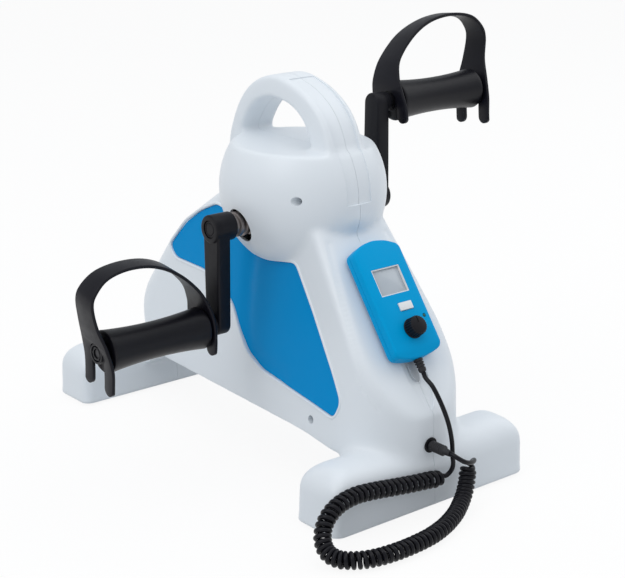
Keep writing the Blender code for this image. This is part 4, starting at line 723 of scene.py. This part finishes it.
def fold_depth(x, y):
    """How far the fold has sunk at one place on the panel; it runs out towards its lower end."""
    away = np.hypot(fold[:, 0] - x, fold[:, 1] - y)
    nearest = int(away.argmin())
    share = 1 - 0.6 * nearest / len(fold)
    return FOLD_DEPTH * share * math.exp(-(away[nearest] / FOLD_HALF) ** 2)


for side, hand in ((-1, "left"), (1, "right")):
    shape = bmesh.new()
    edge = offset(panel_flat, -FIT)
    shape.faces.new([shape.verts.new((*p, 0)) for p in edge])
    for axis, way in enumerate((Vector((1, 0, 0)), Vector((0, 1, 0)))):
        along = [p[axis] for p in edge]
        for at in np.arange(min(along) + GRID, max(along), GRID):
            bmesh.ops.bisect_plane(shape, geom=[*shape.verts, *shape.edges, *shape.faces], plane_co=way * at,
                                   plane_no=way)
    raised(shape, shape.faces[:], PANEL_THICK)
    for vert in shape.verts:
        vert.co.z -= PANEL_TOP + PANEL_THICK + fold_depth(vert.co.x, vert.co.y)
    panel = solid(f"blue_panel_{hand}", shape, flank_frame(side))
    fitted(panel, blue, "base", "panel_blue", f"side_panel_{hand}", sharp=40)


# Crank arms
# Two black nylon arms, alike: a round hub on the shaft, a flat bar that tapers to the pedal's boss, and a cap
# pressed into the hub's end. The right arm points up, and the left one is the same arm turned half round.
def turned(name, profile, place, steps=64, bored=False):
    """A profile of radius and height spun round the frame's Z; a bored one closes on itself."""
    shape = bmesh.new()
    verts = [shape.verts.new((r, 0, h)) for r, h in profile]
    ends = [*verts[1:], verts[0]] if bored else verts[1:]
    edges = [shape.edges.new(pair) for pair in zip(verts, ends)]
    bmesh.ops.spin(shape, geom=[*verts, *edges], cent=(0, 0, 0), axis=(0, 0, 1), angle=2 * math.pi,
                   steps=steps, use_merge=True)
    bmesh.ops.remove_doubles(shape, verts=shape.verts, dist=FIT / 30)
    return solid(name, shape, place)


def eased(piece, width, steps=3, angle=30):
    """Rounds off the sharp edges of a piece."""
    return worked(piece, "BEVEL", width=width, segments=steps, limit_method="ANGLE",
                  angle_limit=math.radians(angle))


def tangent_outline(first, first_r, second, second_r, steps=24):
    """The outline drawn tight round two circles."""
    run = Vector(second) - Vector(first)
    heading = math.degrees(math.atan2(run.y, run.x))
    lean = math.degrees(math.acos((first_r - second_r) / run.length))
    return (arc(first, first_r, heading + lean, heading + 360 - lean, 2 * steps)
            + arc(second, second_r, heading - lean, heading + lean, steps))


CRANK_LENGTH = 90 * mm
CRANK_X = 95.2 * mm  # middle of the arm
CRANK_THICK = 14 * mm
ARM_ROOT = 12 * mm
ARM_TIP = 10.5 * mm
ARM_EDGE = 2.2 * mm
ARM_WEB = 3 * mm
SHAFT_R = 8 * mm
HUB_R = 13 * mm
HUB_INNER = 80.4 * mm
HUB_OUTER = 103.8 * mm
HUB_EDGE = 1.4 * mm
CAP_SINK = 0.8 * mm
CAP_DEPTH = 5.7 * mm
PEDAL_BOSS_OUT = 107 * mm
SPINDLE_R = 6 * mm
crank_place = Matrix.Translation((0, CRANK_Y, CRANK_Z))
half_round = crank_place @ Matrix.Rotation(math.pi, 4, "Y") @ crank_place.inverted()
TURNS = {"right": Matrix(), "left": half_round}
nylon = Finish("black_nylon", (0.005, 0.005, 0.008), (5 * mm, 0.16, 0.36), (0.7 * mm, 0.05 * mm, 3),
               ((0.004, 0.004, 0.006), (0.008, 0.008, 0.012), 12 * mm), Specular_IOR_Level=0.2)
cap_out = HUB_OUTER - CAP_SINK
cap_line = in_mm([(0, 0), (5.0, 0), (5.5, -0.5), (6.1, -0.5), (6.5, 0), (7.4, 0), (8.0, -0.6)])
cap_profile = [*((r, cap_out + h) for r, h in cap_line), (SHAFT_R, cap_out - CAP_DEPTH),
               (0, cap_out - CAP_DEPTH)]
for hand, turn in TURNS.items():
    at_hub = turn @ crank_place @ along_x
    at_pedal = turn @ crank_place @ Matrix.Translation((0, 0, CRANK_LENGTH)) @ along_x
    outline = tangent_outline((0, 0), ARM_ROOT, (0, CRANK_LENGTH), ARM_TIP)
    arm = plate(f"crank_arm_moulding_{hand}", outline, CRANK_X - CRANK_THICK / 2, CRANK_X + CRANK_THICK / 2,
                turn @ crank_place @ upright, ARM_EDGE)
    hub = eased(rod("hub", HUB_R, HUB_INNER, HUB_OUTER, at_hub, 64), HUB_EDGE)
    boss = eased(rod("boss", ARM_TIP - mm, CRANK_X, PEDAL_BOSS_OUT, at_pedal, 48), mm)
    combine(arm, hub, boss, operation="UNION")
    combine(arm, rod("shaft_bore", SHAFT_R + FIT, HUB_INNER - 5 * mm, HUB_OUTER + 5 * mm, at_hub, 48))
    web = CRANK_X - CRANK_THICK / 2 + ARM_WEB
    combine(arm, rod("spindle_bore", SPINDLE_R + FIT, web, PEDAL_BOSS_OUT + 5 * mm, at_pedal, 40))
    fitted(arm, nylon, "crank", "black_moulding", f"crank_arm_{hand}")
    cap = turned(f"crank_end_cap_{hand}", cap_profile, at_hub)
    fitted(cap, nylon, "crank", "black_moulding", f"crank_cap_{hand}")


# Shaft and spacer sleeves
# A bright steel shaft carries both arms. A grooved steel sleeve on it, on either side, keeps the hub off the
# bearing and shows in the round opening of the housing.
CHEEK_HALF = 26.5 * mm
CHEEK_THICK = 3 * mm
BEARING_WIDTH = 9 * mm
SLEEVE_R = 11.5 * mm
SLEEVE_NECK = 9.6 * mm
SLEEVE_RING = 7.5 * mm
SLEEVE_LAND = 4 * mm


def dressed(finish, *names):
    """Gives solids that stay a finish of their own."""
    for name in names:
        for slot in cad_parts[name].material_slots:
            slot.material = finish.material


steel = Finish("bright_steel", (0.60, 0.60, 0.62), (2 * mm, 0.22, 0.20, 3), (0.4 * mm, 0.01 * mm), Metallic=1)
dulled = Finish("dulled_steel", (0.30, 0.27, 0.26), (2 * mm, 0.2, 0.34, 3), Metallic=1)
start = CHEEK_HALF + CHEEK_THICK / 2 + BEARING_WIDTH / 2 + FIT
stop = HUB_INNER - FIT
sleeve = [(SLEEVE_NECK, stop)]
for ring in range(1, 4):
    rise = stop - ring * SLEEVE_RING
    sleeve += [(SLEEVE_NECK, rise + SLEEVE_LAND), (SLEEVE_R, rise + SLEEVE_LAND - mm), (SLEEVE_R, rise),
               (SLEEVE_NECK, rise - mm)]
sleeve += [(SLEEVE_NECK, start), (SHAFT_R + FIT, start), (SHAFT_R + FIT, stop)]
for hand, turn in TURNS.items():
    spacer = turned(f"steel_sleeve_{hand}", sleeve, turn @ crank_place @ along_x, 48, True)
    fitted(spacer, dulled, "crank", "steel", f"shaft_spacer_{hand}")
dressed(steel, "crank_shaft", "bearing_left", "bearing_right")


# Pedals
# A waisted black bar turns on a blacked steel spindle. Its strap is one stiff moulded band that arches over
# the foot and straddles the bar's hub at either end with two rounded prongs. A nut in the bar's end holds it.
SPINDLE_NECK = 4 * mm
FORK_INNER = 111.6 * mm
FORK_OUTER = 223 * mm
PEDAL_MIDDLE = (FORK_OUTER + FORK_INNER) / 2
PEDAL_LEAN = {"right": math.radians(-6.7), "left": math.radians(6.8)}
STRAP_THICK = 3 * mm
STRAP_WIDTH = 45 * mm
STRAP_EDGE = 1.1 * mm
PRONG_DROP_OUTER = 35 * mm
PRONG_DROP_INNER = 21.3 * mm
SLOT_R = 9.7 * mm
TUBE_R = 19.5 * mm
TUBE_WAIST = 16.5 * mm
TUBE_PLAY = 0.9 * mm
TUBE_PROUD = 3.5 * mm
NUT_R = 7 * mm
NUT_THICK = 2.8 * mm
NUT_SINK = 0.3 * mm
STRAP = [(-55.7, -26, -22.5, 22.5), (-55.7, -8, -22.5, 22.5), (-56.3, 8, -18.5, 24), (-54.3, 22.3, -12.5, 24),
         (-45.4, 40.1, -6.2, 22.6), (-23.3, 60.1, -3.7, 21.6), (2.3, 72.3, -2.4, 17.5), (30, 76.2, -4, 14.6),
         (53.6, 72.3, -6.4, 14.6), (66.7, 61, -8, 16.6), (70.4, 48.8, -8.5, 18), (66.1, 28.1, -10, 20),
         (60.5, 9, -17.5, 22.5), (56.9, -9, -22.5, 22.5), (55.7, -26, -22.5, 22.5),
         (55.7, -40, -22.5, 22.5)]  # outwards from the pedal's middle, up, near edge and far edge
strap_line = [(PEDAL_MIDDLE + p[0], *p[1:]) for p in smooth_line(in_mm(STRAP), 7)]
tube_end = FORK_OUTER + TUBE_PROUD
nut_out = tube_end - NUT_SINK
nut_in = nut_out - NUT_THICK
shoulder = nut_in - 2 * FIT
band_black = Finish("strap_plastic", (0.005, 0.005, 0.009), (8 * mm, 0.18, 0.32, 3), (0.8 * mm, 0.04 * mm, 3),
                    ((0.004, 0.004, 0.007), (0.008, 0.008, 0.013), 18 * mm), Specular_IOR_Level=0.2)
bar_black = Finish("pedal_bar_plastic", (0.004, 0.004, 0.007), (6 * mm, 0.14, 0.32, 3),
                   (1.1 * mm, 0.05 * mm, 3), Specular_IOR_Level=0.25)
blacked = Finish("blacked_steel", (0.05, 0.05, 0.055), (2 * mm, 0.2, 0.28, 3), (0.4 * mm, 0.01 * mm),
                 Metallic=1)


def fork_notch(side, start, stop, drop_by):
    """What is cut from a foot of the strap, to leave two rounded prongs."""
    foot = STRAP_WIDTH / 2 + FIT
    tip = (foot - SLOT_R) / 2
    drop = tip - drop_by
    low = -STRAP_WIDTH * 2
    notch = [(foot + tip, low), (foot + tip, drop), *arc((SLOT_R + tip, drop), tip, 360, 180, 16),
             *arc((0, 0), SLOT_R, 0, 180, 28), *arc((-SLOT_R - tip, drop), tip, 360, 180, 16),
             (-foot - tip, drop), (-foot - tip, low)]
    return plate("notch", notch, *sorted((side * start, side * stop)), upright)


def strap_band(name, side):
    rings = []
    for k, (x, z, near, far) in enumerate(strap_line):
        before, after = strap_line[max(0, k - 1)], strap_line[min(len(strap_line) - 1, k + 1)]
        inwards = Vector((after[1] - before[1], before[0] - after[0])).normalized()
        section = rounded([(0, near), (0, far), (STRAP_THICK, far), (STRAP_THICK, near)], STRAP_EDGE, 3)
        rings.append([(side * (x + inwards.x * depth), y, z + inwards.y * depth) for depth, y in section])
    band = lofted(name, rings)
    combine(band, fork_notch(side, FORK_INNER - 5 * STRAP_THICK, PEDAL_MIDDLE, PRONG_DROP_INNER),
            fork_notch(side, PEDAL_MIDDLE, FORK_OUTER + 6 * STRAP_THICK, PRONG_DROP_OUTER))
    return eased(band, 0.5 * mm, 2, 50)


def bar_profile():
    """The pedal bar from its outer end in: a hub, a shoulder, the waist, and a bore that takes the nut."""
    bore, hub, sink = SPINDLE_R + FIT, SLOT_R - FIT, NUT_R + FIT
    left, right = FORK_INNER + STRAP_THICK + TUBE_PLAY, FORK_OUTER - STRAP_THICK - TUBE_PLAY
    waist = []
    for k in range(33):
        t = 1 - k / 16
        at = (left + right) / 2 + t * 0.49 * (right - left)
        waist.append((TUBE_WAIST + (TUBE_R - TUBE_WAIST) * t * t, at))
    return [(hub, tube_end), (hub, right), (TUBE_R - 2 * mm, right), *waist, (TUBE_R - 2 * mm, left),
            (hub, left), (hub, FORK_INNER), (bore, FORK_INNER), (bore, nut_in - FIT), (sink, nut_in - FIT),
            (sink, tube_end)]


collar_in, collar_out = PEDAL_BOSS_OUT + FIT, FORK_INNER - mm
root = web + FIT
spindle_profile = [(0, nut_out - mm), (SPINDLE_NECK - 0.5 * mm, nut_out - mm),
                   (SPINDLE_NECK, nut_out - 1.5 * mm), (SPINDLE_NECK, shoulder), (SPINDLE_R, shoulder),
                   (SPINDLE_R, collar_out), (SPINDLE_R + 2 * mm, collar_out),
                   (SPINDLE_R + 2.5 * mm, collar_out - 0.5 * mm), (SPINDLE_R + 2.5 * mm, collar_in),
                   (SPINDLE_R, collar_in), (SPINDLE_R, root), (0, root)]
for hand, side in (("right", 1), ("left", -1)):
    axis = crank_place @ Matrix.Translation((0, 0, side * CRANK_LENGTH))
    outwards = axis @ Matrix.Rotation(0 if side > 0 else math.pi, 4, "Z") @ along_x
    band = strap_band(f"foot_strap_{hand}", side)
    band.data.transform(axis @ Matrix.Rotation(PEDAL_LEAN[hand], 4, "X"))
    fitted(band, band_black, f"pedal_{hand}", "strap_black", f"pedal_strap_{hand}")
    bar = eased(turned(f"pedal_bar_{hand}", bar_profile(), outwards, 72, True), 0.5 * mm, 2, 35)
    fitted(bar, bar_black, f"pedal_{hand}", "black_moulding", f"pedal_tube_{hand}")
    pin = turned(f"pedal_pin_{hand}", spindle_profile, outwards, 48)
    fitted(pin, blacked, "crank", "steel", f"pedal_spindle_{hand}")
    nut = rod(f"pedal_nut_{hand}", NUT_R, nut_in, nut_out, outwards, 6)
    bore = rod("nut_bore", SPINDLE_NECK + FIT, nut_in - mm, nut_out + mm, outwards, 32)
    combine(eased(nut, 0.5 * mm, 2), bore)
    fitted(nut, nylon, "crank", "black_moulding", f"spindle_nut_{hand}")


# Hand control
# A cyan ABS case in two shells on a pale clip that slides onto the console. Its front holds the display in a
# sunk window with a thin pale rim, the mode button, the speed knob and a small lamp. The cord leaves its foot
# through a ribbed sleeve.
CONTROL_HALF = 27 * mm
CONTROL_LENGTH = 104 * mm
CONTROL_CROWN = 8 * mm
CONTROL_CORNER = 5 * mm
CONTROL_FOOT = 4 * mm
CONTROL_SAG = 5 * mm
CONTROL_WALL = 2 * mm
CLIP_THICK = 2.5 * mm
CLIP_MIDDLE = (0, 53 * mm)
CLIP_HALF = (16 * mm, 39 * mm)
TONGUE = [(-7, 20), (-7, -14), (-4, -19), (-1, -19), (1.5, -14), (1.5, 20)]  # under the case's foot
TONGUE_THICK = 1.3 * mm
BACK_LOW = 3.1 * mm
BACK_HIGH = 9.1 * mm
FRONT_LOW = 9.4 * mm
FRONT_HIGH = 17.2 * mm
CEILING = FRONT_HIGH - CONTROL_WALL
BACK_EDGE = 1.6 * mm
FRONT_EDGE = 2.0 * mm
FACET_START = 9 * mm  # where the front starts to fall away to its foot
FACET_SLOPE = math.radians(16)
SCREEN = (0, 72 * mm)
SCREEN_HALF = (15.3 * mm, 12 * mm)
BOARD_TOP = 13.1 * mm  # where the display, the button and the lamp stand on their board
GASKET = 0.9 * mm
NECK_R = 3.2 * mm
NECK_REACH = 12 * mm
RELIEF_DEPTH = 9.25 * mm  # the cord's sleeve above the console
BUTTON = (4.8 * mm, 46.5 * mm)
BUTTON_HALF = (7.5 * mm, 3.75 * mm)
BUTTON_TRAVEL = 0.8 * mm
KNOB = (1.5 * mm, 25 * mm)
STEM_R = 3 * mm
LED = (20.5 * mm, 34 * mm)
LED_R = 1.5 * mm
cyan = Finish("cyan_abs", (0.0, 0.34, 0.69), (7 * mm, 0.10, 0.30), (0.5 * mm, 0.02 * mm, 3),
              Specular_IOR_Level=0.06)


def case_outline(inset=0.0):
    """Straight sides, with the upper and the lower edge bowed."""
    a = CONTROL_HALF - inset
    low, high = CONTROL_FOOT + inset, CONTROL_LENGTH - inset
    top = [(a * (1 - k / 2), high + CONTROL_CROWN * (1 - (1 - k / 2) ** 2)) for k in range(5)]
    bottom = [(-a * (1 - k / 3), low - CONTROL_SAG * (1 - (1 - k / 3) ** 2)) for k in range(7)]
    return rounded([*bottom, *top], CONTROL_CORNER, 5)


def oblong(middle, half, more=0.0):
    """The corners of a rectangle."""
    return [(middle[0] + x * (half[0] + more), middle[1] + s * (half[1] + more))
            for x, s in ((-1, -1), (1, -1), (1, 1), (-1, 1))]


def mouth():
    """The hole for the cord's sleeve, through the foot of either shell."""
    return rod("mouth", NECK_R + FIT, -NECK_REACH, NECK_REACH, sleeve_mouth, 40)


far = 200 * mm
all_round = oblong((0, 0), (far, far))
sleeve_mouth = console @ Matrix.Translation((0, 0, RELIEF_DEPTH)) @ along_y
back = eased(plate("control_back_shell", case_outline(), BACK_LOW, BACK_HIGH + 5 * mm, console), BACK_EDGE)
combine(back, plate("above", all_round, BACK_HIGH, far, console),
        plate("back_room", case_outline(CONTROL_WALL), BACK_LOW + CONTROL_WALL, far, console), mouth())
fitted(back, cyan, "base", "control_blue", "control_back")

front = plate("control_front_shell", case_outline(), FRONT_LOW - 6 * mm, FRONT_HIGH, console)
fall = console @ Matrix.Translation((0, FACET_START, FRONT_HIGH)) @ Matrix.Rotation(FACET_SLOPE, 4, "X")
below_fall = oblong((0, -far), (far, far + mm))
combine(front, plate("facet", below_fall, 0, far, fall))
eased(front, FRONT_EDGE, 4)
front_room = plate("front_room", case_outline(CONTROL_WALL), FRONT_LOW - mm, CEILING, console)
combine(front_room, plate("room_facet", below_fall, -CONTROL_WALL, far, fall))
combine(front, plate("below", all_round, -far, FRONT_LOW, console), front_room,
        plate("window", oblong(SCREEN, SCREEN_HALF, GASKET), CEILING - mm, far, console),
        plate("button_hole", rounded(oblong(BUTTON, BUTTON_HALF, FIT), mm, 4), CEILING - mm, far, console),
        mouth())
knob_place = console @ Matrix.Translation((*KNOB, 0))
lamp_place = console @ Matrix.Translation((*LED, 0))
for place, radius in ((knob_place, STEM_R), (lamp_place, LED_R)):
    combine(front, rod("hole", radius + FIT, CEILING - mm, far, place, 32))
fitted(front, cyan, "base", "control_blue", "control_front")

clip_shape = rounded(oblong(CLIP_MIDDLE, CLIP_HALF), 4 * mm)
clip = plate("console_clip", clip_shape, FIT, FIT + CLIP_THICK, console, 0.4 * mm)
tongue = plate("tongue", rounded(in_mm(TONGUE), 2 * mm, 4), FIT, FIT + TONGUE_THICK, console, 0.3 * mm)
grey = Finish("clip_plastic", (0.42, 0.45, 0.48), (4 * mm, 0.15, 0.3), (0.5 * mm, 0.02 * mm))
fitted(combine(clip, tongue, operation="UNION"), grey, "base", "housing_white", "control_clip")

lcd = Finish("display_glass", (0.44, 0.49, 0.54), (5 * mm, 0.08, 0.16), None,
             ((0.42, 0.47, 0.52), (0.48, 0.53, 0.58), 16 * mm), Coat_Weight=0.4, Coat_Roughness=0.08)
pane = plate("display_pane", oblong(SCREEN, SCREEN_HALF, 1.5 * mm), BOARD_TOP, CEILING - FIT, console)
fitted(eased(pane, 0.3 * mm, 2), lcd, "base", "screen_grey", "control_screen")

pale = Finish("rim_plastic", (0.8, 0.8, 0.8), (2 * mm, 0.15, 0.42), Specular_IOR_Level=0.0)
rim = oblong(SCREEN, SCREEN_HALF, GASKET - FIT / 6)
gasket = plate("display_gasket", rim, CEILING - FIT / 2, FRONT_HIGH - FIT, console)
combine(gasket, plate("sight", oblong(SCREEN, SCREEN_HALF), 0, far, console))
fitted(gasket, pale, "base", "black_moulding", sharp=30)

key_white = Finish("key_white", (0.82, 0.83, 0.84), (3 * mm, 0.12, 0.28), (0.4 * mm, 0.01 * mm))
key_low = BOARD_TOP + BUTTON_TRAVEL
key_shape = rounded(oblong(BUTTON, BUTTON_HALF), 0.9 * mm, 4)
key = plate("mode_key", key_shape, key_low, FRONT_HIGH + 1.1 * mm, console, (0, 0.6 * mm))
combine(key, plate("flange", oblong(BUTTON, BUTTON_HALF, 1.2 * mm), key_low, CEILING - FIT, console),
        operation="UNION")
fitted(key, key_white, "button", "button_white", "mode_button")


def stepped(level, points):
    """A profile in mm, its heights measured from that level."""
    return [(r, level + h) for r, h in in_mm(points)]


lamp_green = Finish("lamp_green", (0.01, 0.09, 0.07), (1 * mm, 0.1, 0.12))
lamp_line = stepped(FRONT_HIGH, [(0, 0.3), (0.7, 0.25), (1.2, 0), (1.5, -0.5), (1.5, -4.1), (0, -4.1)])
fitted(turned("power_lamp", lamp_line, lamp_place, 32), lamp_green, "base", "lamp_dark", "power_light")

KNOB_RIB = 0.35 * mm
KNOB_RIBS = 24
KNOB_LOW = FRONT_HIGH + FIT
KNOB_HIGH = KNOB_LOW + 11 * mm
rings = []
for w, radius, rib in ((0, 9.1, 0), (0.2, 9.4, 0), (0.6, 9.5, 0), (1.1, 9.5, 0), (1.4, 9.2, 0), (1.6, 8.9, 1),
                       (5, 8.75, 1), (9.2, 8.55, 1), (10.1, 8.3, 0.7), (10.7, 7.7, 0.2), (11, 6.9, 0)):
    ring = []
    for k in range(KNOB_RIBS * 8):
        t = 2 * math.pi * k / (KNOB_RIBS * 8)
        r = radius * mm + rib * KNOB_RIB * math.cos(KNOB_RIBS * t)
        ring.append(knob_place @ Vector((r * math.cos(t), r * math.sin(t), KNOB_LOW + w * mm)))
    rings.append(ring)
knob = lofted("speed_dial", rings)
combine(knob, rod("stem", STEM_R, 6.9 * mm + FIT, KNOB_LOW + mm, knob_place, 32), operation="UNION")
pointer = oblong((0, 7 * mm), (0.5 * mm, 5 * mm))
combine(knob, plate("pointer", pointer, KNOB_HIGH - 0.5 * mm, far, knob_place))
fitted(knob, nylon, "knob", "black_moulding", "speed_knob")

rubber = Finish("sleeve_rubber", (0.014, 0.014, 0.017), (3 * mm, 0.15, 0.45), (0.5 * mm, 0.03 * mm, 3),
                Specular_IOR_Level=0.4)
sleeve = in_mm([(0, 5), (3.8, 5), (3.8, 3.6), (3.2, 3.6), (3.2, -1.4), (4.4, -1.4), (4.35, -3.0), (3.4, -3.2),
                (3.4, -4.0), (4.2, -4.2), (4.1, -5.6), (3.2, -5.8), (3.2, -6.6), (3.95, -6.8), (3.85, -8.2),
                (3.0, -8.4), (3.0, -9.2), (3.7, -9.4), (3.4, -12.4), (2.9, -13.0), (0, -13.0)])
fitted(turned("cord_sleeve", sleeve, sleeve_mouth, 48), rubber, "base", "black_moulding", "strain_relief")


# Jack, plug and power inlet
# A black jack through the column takes the moulded plug on the cord's end. The power inlet sits low in the
# rear, on the spine.
CORD_R = 2.1 * mm
PLUG_R = 4.8 * mm
PLUG_LENGTH = 17 * mm
PLUG_TAPER = 7 * mm
jack_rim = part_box("lead_jack")[0].y - CRANK_Y
jack_line = stepped(jack_rim, [(0, 12.5), (5.2, 12.5), (5.2, 1.2), (7, 1.2), (7, 0.4), (6.6, 0), (2.1, 0),
                               (2.1, 8.5), (0, 8.5)])
at_jack = Matrix.Translation((JACK[0], CRANK_Y, JACK[1])) @ along_y
fitted(turned("column_jack", jack_line, at_jack, 48), nylon, "base", "black_moulding", "lead_jack")
plug_in = jack_rim - FIT
plug_out = plug_in - PLUG_LENGTH
ribs = []
for k in range(5):
    rib = stepped(plug_in - (4 + 2.2 * k) * mm, [(0, 0), (-0.5, -0.5), (-0.5, -1.1), (0, -1.6)])
    ribs += [(PLUG_R + r, at) for r, at in rib]
plug_line = [*stepped(plug_in, [(0, 7.5), (1.8, 7.5), (1.8, 0), (4.2, 0), (4.8, -0.6)]), *ribs,
             *stepped(plug_out, [(4.8, 1.4), (3.6, 0), (3.1, -1), (2.7, -7), (0, -7)])]
plug = fitted(turned("column_plug", plug_line, at_jack, 48), rubber, "base", "black_moulding", "cord_plug")
inlet_line = stepped(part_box("power_inlet")[1].y - CRANK_Y,
                     [(0, -8), (2.8, -8), (2.8, 0), (7.1, 0), (7.5, -0.4), (7.5, -1.5), (5.2, -1.5),
                      (5.2, -13.5), (0, -13.5)])
at_inlet = Matrix.Translation((0, CRANK_Y, INLET_Z)) @ along_y
fitted(turned("rear_inlet", inlet_line, at_inlet, 48), nylon, "base", "black_moulding", "power_inlet")


# Curly cord
# A 4.2 mm PVC cord, moulded in one length: a lead that hangs from the hand control's strain relief, a curly
# length laid out over the front foot and the floor, and a short tail up to the plug in the jack.
CURL_R = 5.8 * mm
CURLS = 72
CURL_POINTS = 20
CURL_CROWD = 1.2  # how much closer the curls lie on a bend
CURL_RISE = 13 * mm  # the length over which the first and the last curls open up
CURL_EASE = 0.14  # the first curls lie this much wider apart than the mean, and the last ones closer
BEND_SPAN = 12 * mm  # the length over which a bend is averaged
LEAD_ROUTE = [(0, -185, 112.6), (2, -194, 99), (5, -200, 82.8), (6.5, -203.6, 66.8), (6.6, -205, 53),
              (8.4, -204.2, 44), (8.4, -202.2, 37.5), (5.6, -199.9, 32.7), (1, -198.7, 31)]
COIL_ROUTE = [(-2, -198.6, 31), (-14, -198.4, 33), (-32, -198.3, 35), (-54, -198.3, 38), (-78, -198.3, 41.5),
              (-101, -198.6, 43.5), (-121, -200.3, 41), (-136, -203.5, 33.5), (-144, -208, 22.5),
              (-146, -216, 13), (-142, -226, 8.8), (-132.5, -235.5, 8.3), (-119, -242, 8.3),
              (-102, -245, 8.3), (-80, -245.5, 8.3), (-55, -243, 8.3), (-31, -236, 8.3), (-9, -225.5, 8.3),
              (7, -216, 10), (17, -210.5, 15.5), (23, -207, 23.5), (26, -205, 32)]
TAIL_ROUTE = [(-2.5, -220.5, 58), (4, -224, 53.5), (14, -222, 50), (23, -215.5, 47.5), (28, -208.5, 43),
              (27.6, -205, 37)]


def from_crank(points):
    """Points in mm from the crank axis along Y and from the floor along Z, in the row frame."""
    return [Vector(p) * mm + Vector((0, CRANK_Y, 0)) for p in points]


def curly(route, first, last):
    """A smooth line through the route that winds into a helix between two of its points."""
    rough = np.array(smooth_line(route, 12))
    along = np.concatenate([[0], np.cumsum(np.linalg.norm(np.diff(rough, axis=0), axis=1))])
    at = np.linspace(0, along[-1], CURLS * CURL_POINTS * 2)
    fine = np.stack([np.interp(at, along, rough[:, k]) for k in range(3)], axis=1)
    count = np.arange(len(fine))
    step = np.linalg.norm(np.diff(fine, axis=0), axis=1).mean()
    start, stop = (int(np.linalg.norm(fine - np.array(tuple(end)), axis=1).argmin()) for end in (first, last))
    tangents = np.gradient(fine, axis=0)
    tangents /= np.linalg.norm(tangents, axis=1)[:, None]
    side = np.cross(tangents[0], (0, 0, 1.0))
    bend = np.linalg.norm(np.gradient(tangents, axis=0), axis=1) / step
    width = round(BEND_SPAN / step)
    bend = np.convolve(bend, np.ones(width) / width, "same")
    reach = np.clip(np.minimum(count - start, stop - count) * step / CURL_RISE, 0, 1)
    spread = np.interp(count, (start, stop), (1 - CURL_EASE, 1 + CURL_EASE))
    rate = reach * (1 + CURL_CROWD * CURL_R * bend) * spread
    turns = np.cumsum(rate) / rate.sum() * CURLS
    swells = CURL_R * reach * reach * (3 - 2 * reach)
    stride = round(CORD_R / step)
    points = []
    wanted = 0
    for k in range(len(fine)):
        side = side - tangents[k] * side.dot(tangents[k])
        side /= np.linalg.norm(side)
        if start < k < stop and turns[k] < wanted / CURL_POINTS - 1e-9:
            continue
        if start < k < stop:
            wanted += 1
        elif k % stride and k < len(fine) - 1:
            continue
        angle = 2 * math.pi * turns[k]
        out = side * math.cos(angle) + np.cross(tangents[k], side) * math.sin(angle)
        points.append(Vector(fine[k] + swells[k] * out))
    return points


RELIEF_LENGTH = 13 * mm
relief_end = console @ Vector((0, -RELIEF_LENGTH, RELIEF_DEPTH))
lead_way = console.to_3x3() @ Vector((0, -1, 0))
plug_end = at_jack @ Vector((0, 0, plug_out - PLUG_TAPER))
stub = 3 * CORD_R
start = relief_end + lead_way * FIT
stop = plug_end - Vector((0, FIT, 0))
lead, coil, tail = (from_crank(route) for route in (LEAD_ROUTE, COIL_ROUTE, TAIL_ROUTE[::-1]))
route = [start, relief_end + lead_way * stub, *lead, *coil, *tail, plug_end - Vector((0, CORD_R, 0)), stop]
cord_line = curly(route, lead[-2], tail[1])
pvc = Finish("cord_pvc", (0.004, 0.004, 0.007), (3 * mm, 0.16, 0.28), (0.5 * mm, 0.03 * mm, 3),
             Specular_IOR_Level=0.22)
curly_cord = round_line("curly_cord", cord_line, CORD_R)
curly_cord.data.materials.append(pvc.material)
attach(curly_cord, "base")
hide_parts("cord_lead", "cord_coil", "cord_tail")


# Screws and foot pads
# Two bright cross-head screws draw the halves together. Four black rubber pads under the feet keep the
# machine from sliding.
dressed(steel, "housing_screw_skirt", "housing_screw_head")
pad_rubber = Finish("pad_rubber", (0.02, 0.02, 0.022), (3 * mm, 0.2, 0.65), (0.8 * mm, 0.1 * mm, 3))
dressed(pad_rubber, *(f"foot_pad_{end}_{hand}" for end in ("front", "rear") for hand in ("left", "right")))


# Drive
# Inside, a painted steel frame carries the bearings, a geared motor and the control board. The motor's small
# pulley drives the large one on the crank shaft through a flat belt.
painted = Finish("frame_paint", (0.12, 0.125, 0.13), (6 * mm, 0.2, 0.4, 3), (1.5 * mm, 0.05 * mm, 3),
                 Metallic=0.6)
dressed(painted, "drive_frame")
dressed(steel, "output_shaft", "motor_pulley", "speed_pot")
dressed(Finish("motor_plating", (0.42, 0.42, 0.43), (5 * mm, 0.2, 0.28), Metallic=1), "motor_can")
alloy = Finish("cast_alloy", (0.42, 0.43, 0.45), (2 * mm, 0.25, 0.4, 4), (1.2 * mm, 0.1 * mm, 4), Metallic=1)
dressed(alloy, "gearbox_case")
dressed(Finish("natural_nylon", (0.72, 0.71, 0.66), (4 * mm, 0.15, 0.42)), "crank_pulley")
belt_rubber = Finish("belt_rubber", (0.015, 0.015, 0.016), (2 * mm, 0.2, 0.7), (0.6 * mm, 0.06 * mm, 3))
dressed(belt_rubber, "drive_belt")
laminate = Finish("circuit_laminate", (0.02, 0.15, 0.07), (3 * mm, 0.2, 0.35), None,
                  ((0.015, 0.12, 0.055), (0.03, 0.18, 0.085), 1.5 * mm))
dressed(laminate, "control_board", "control_circuit")
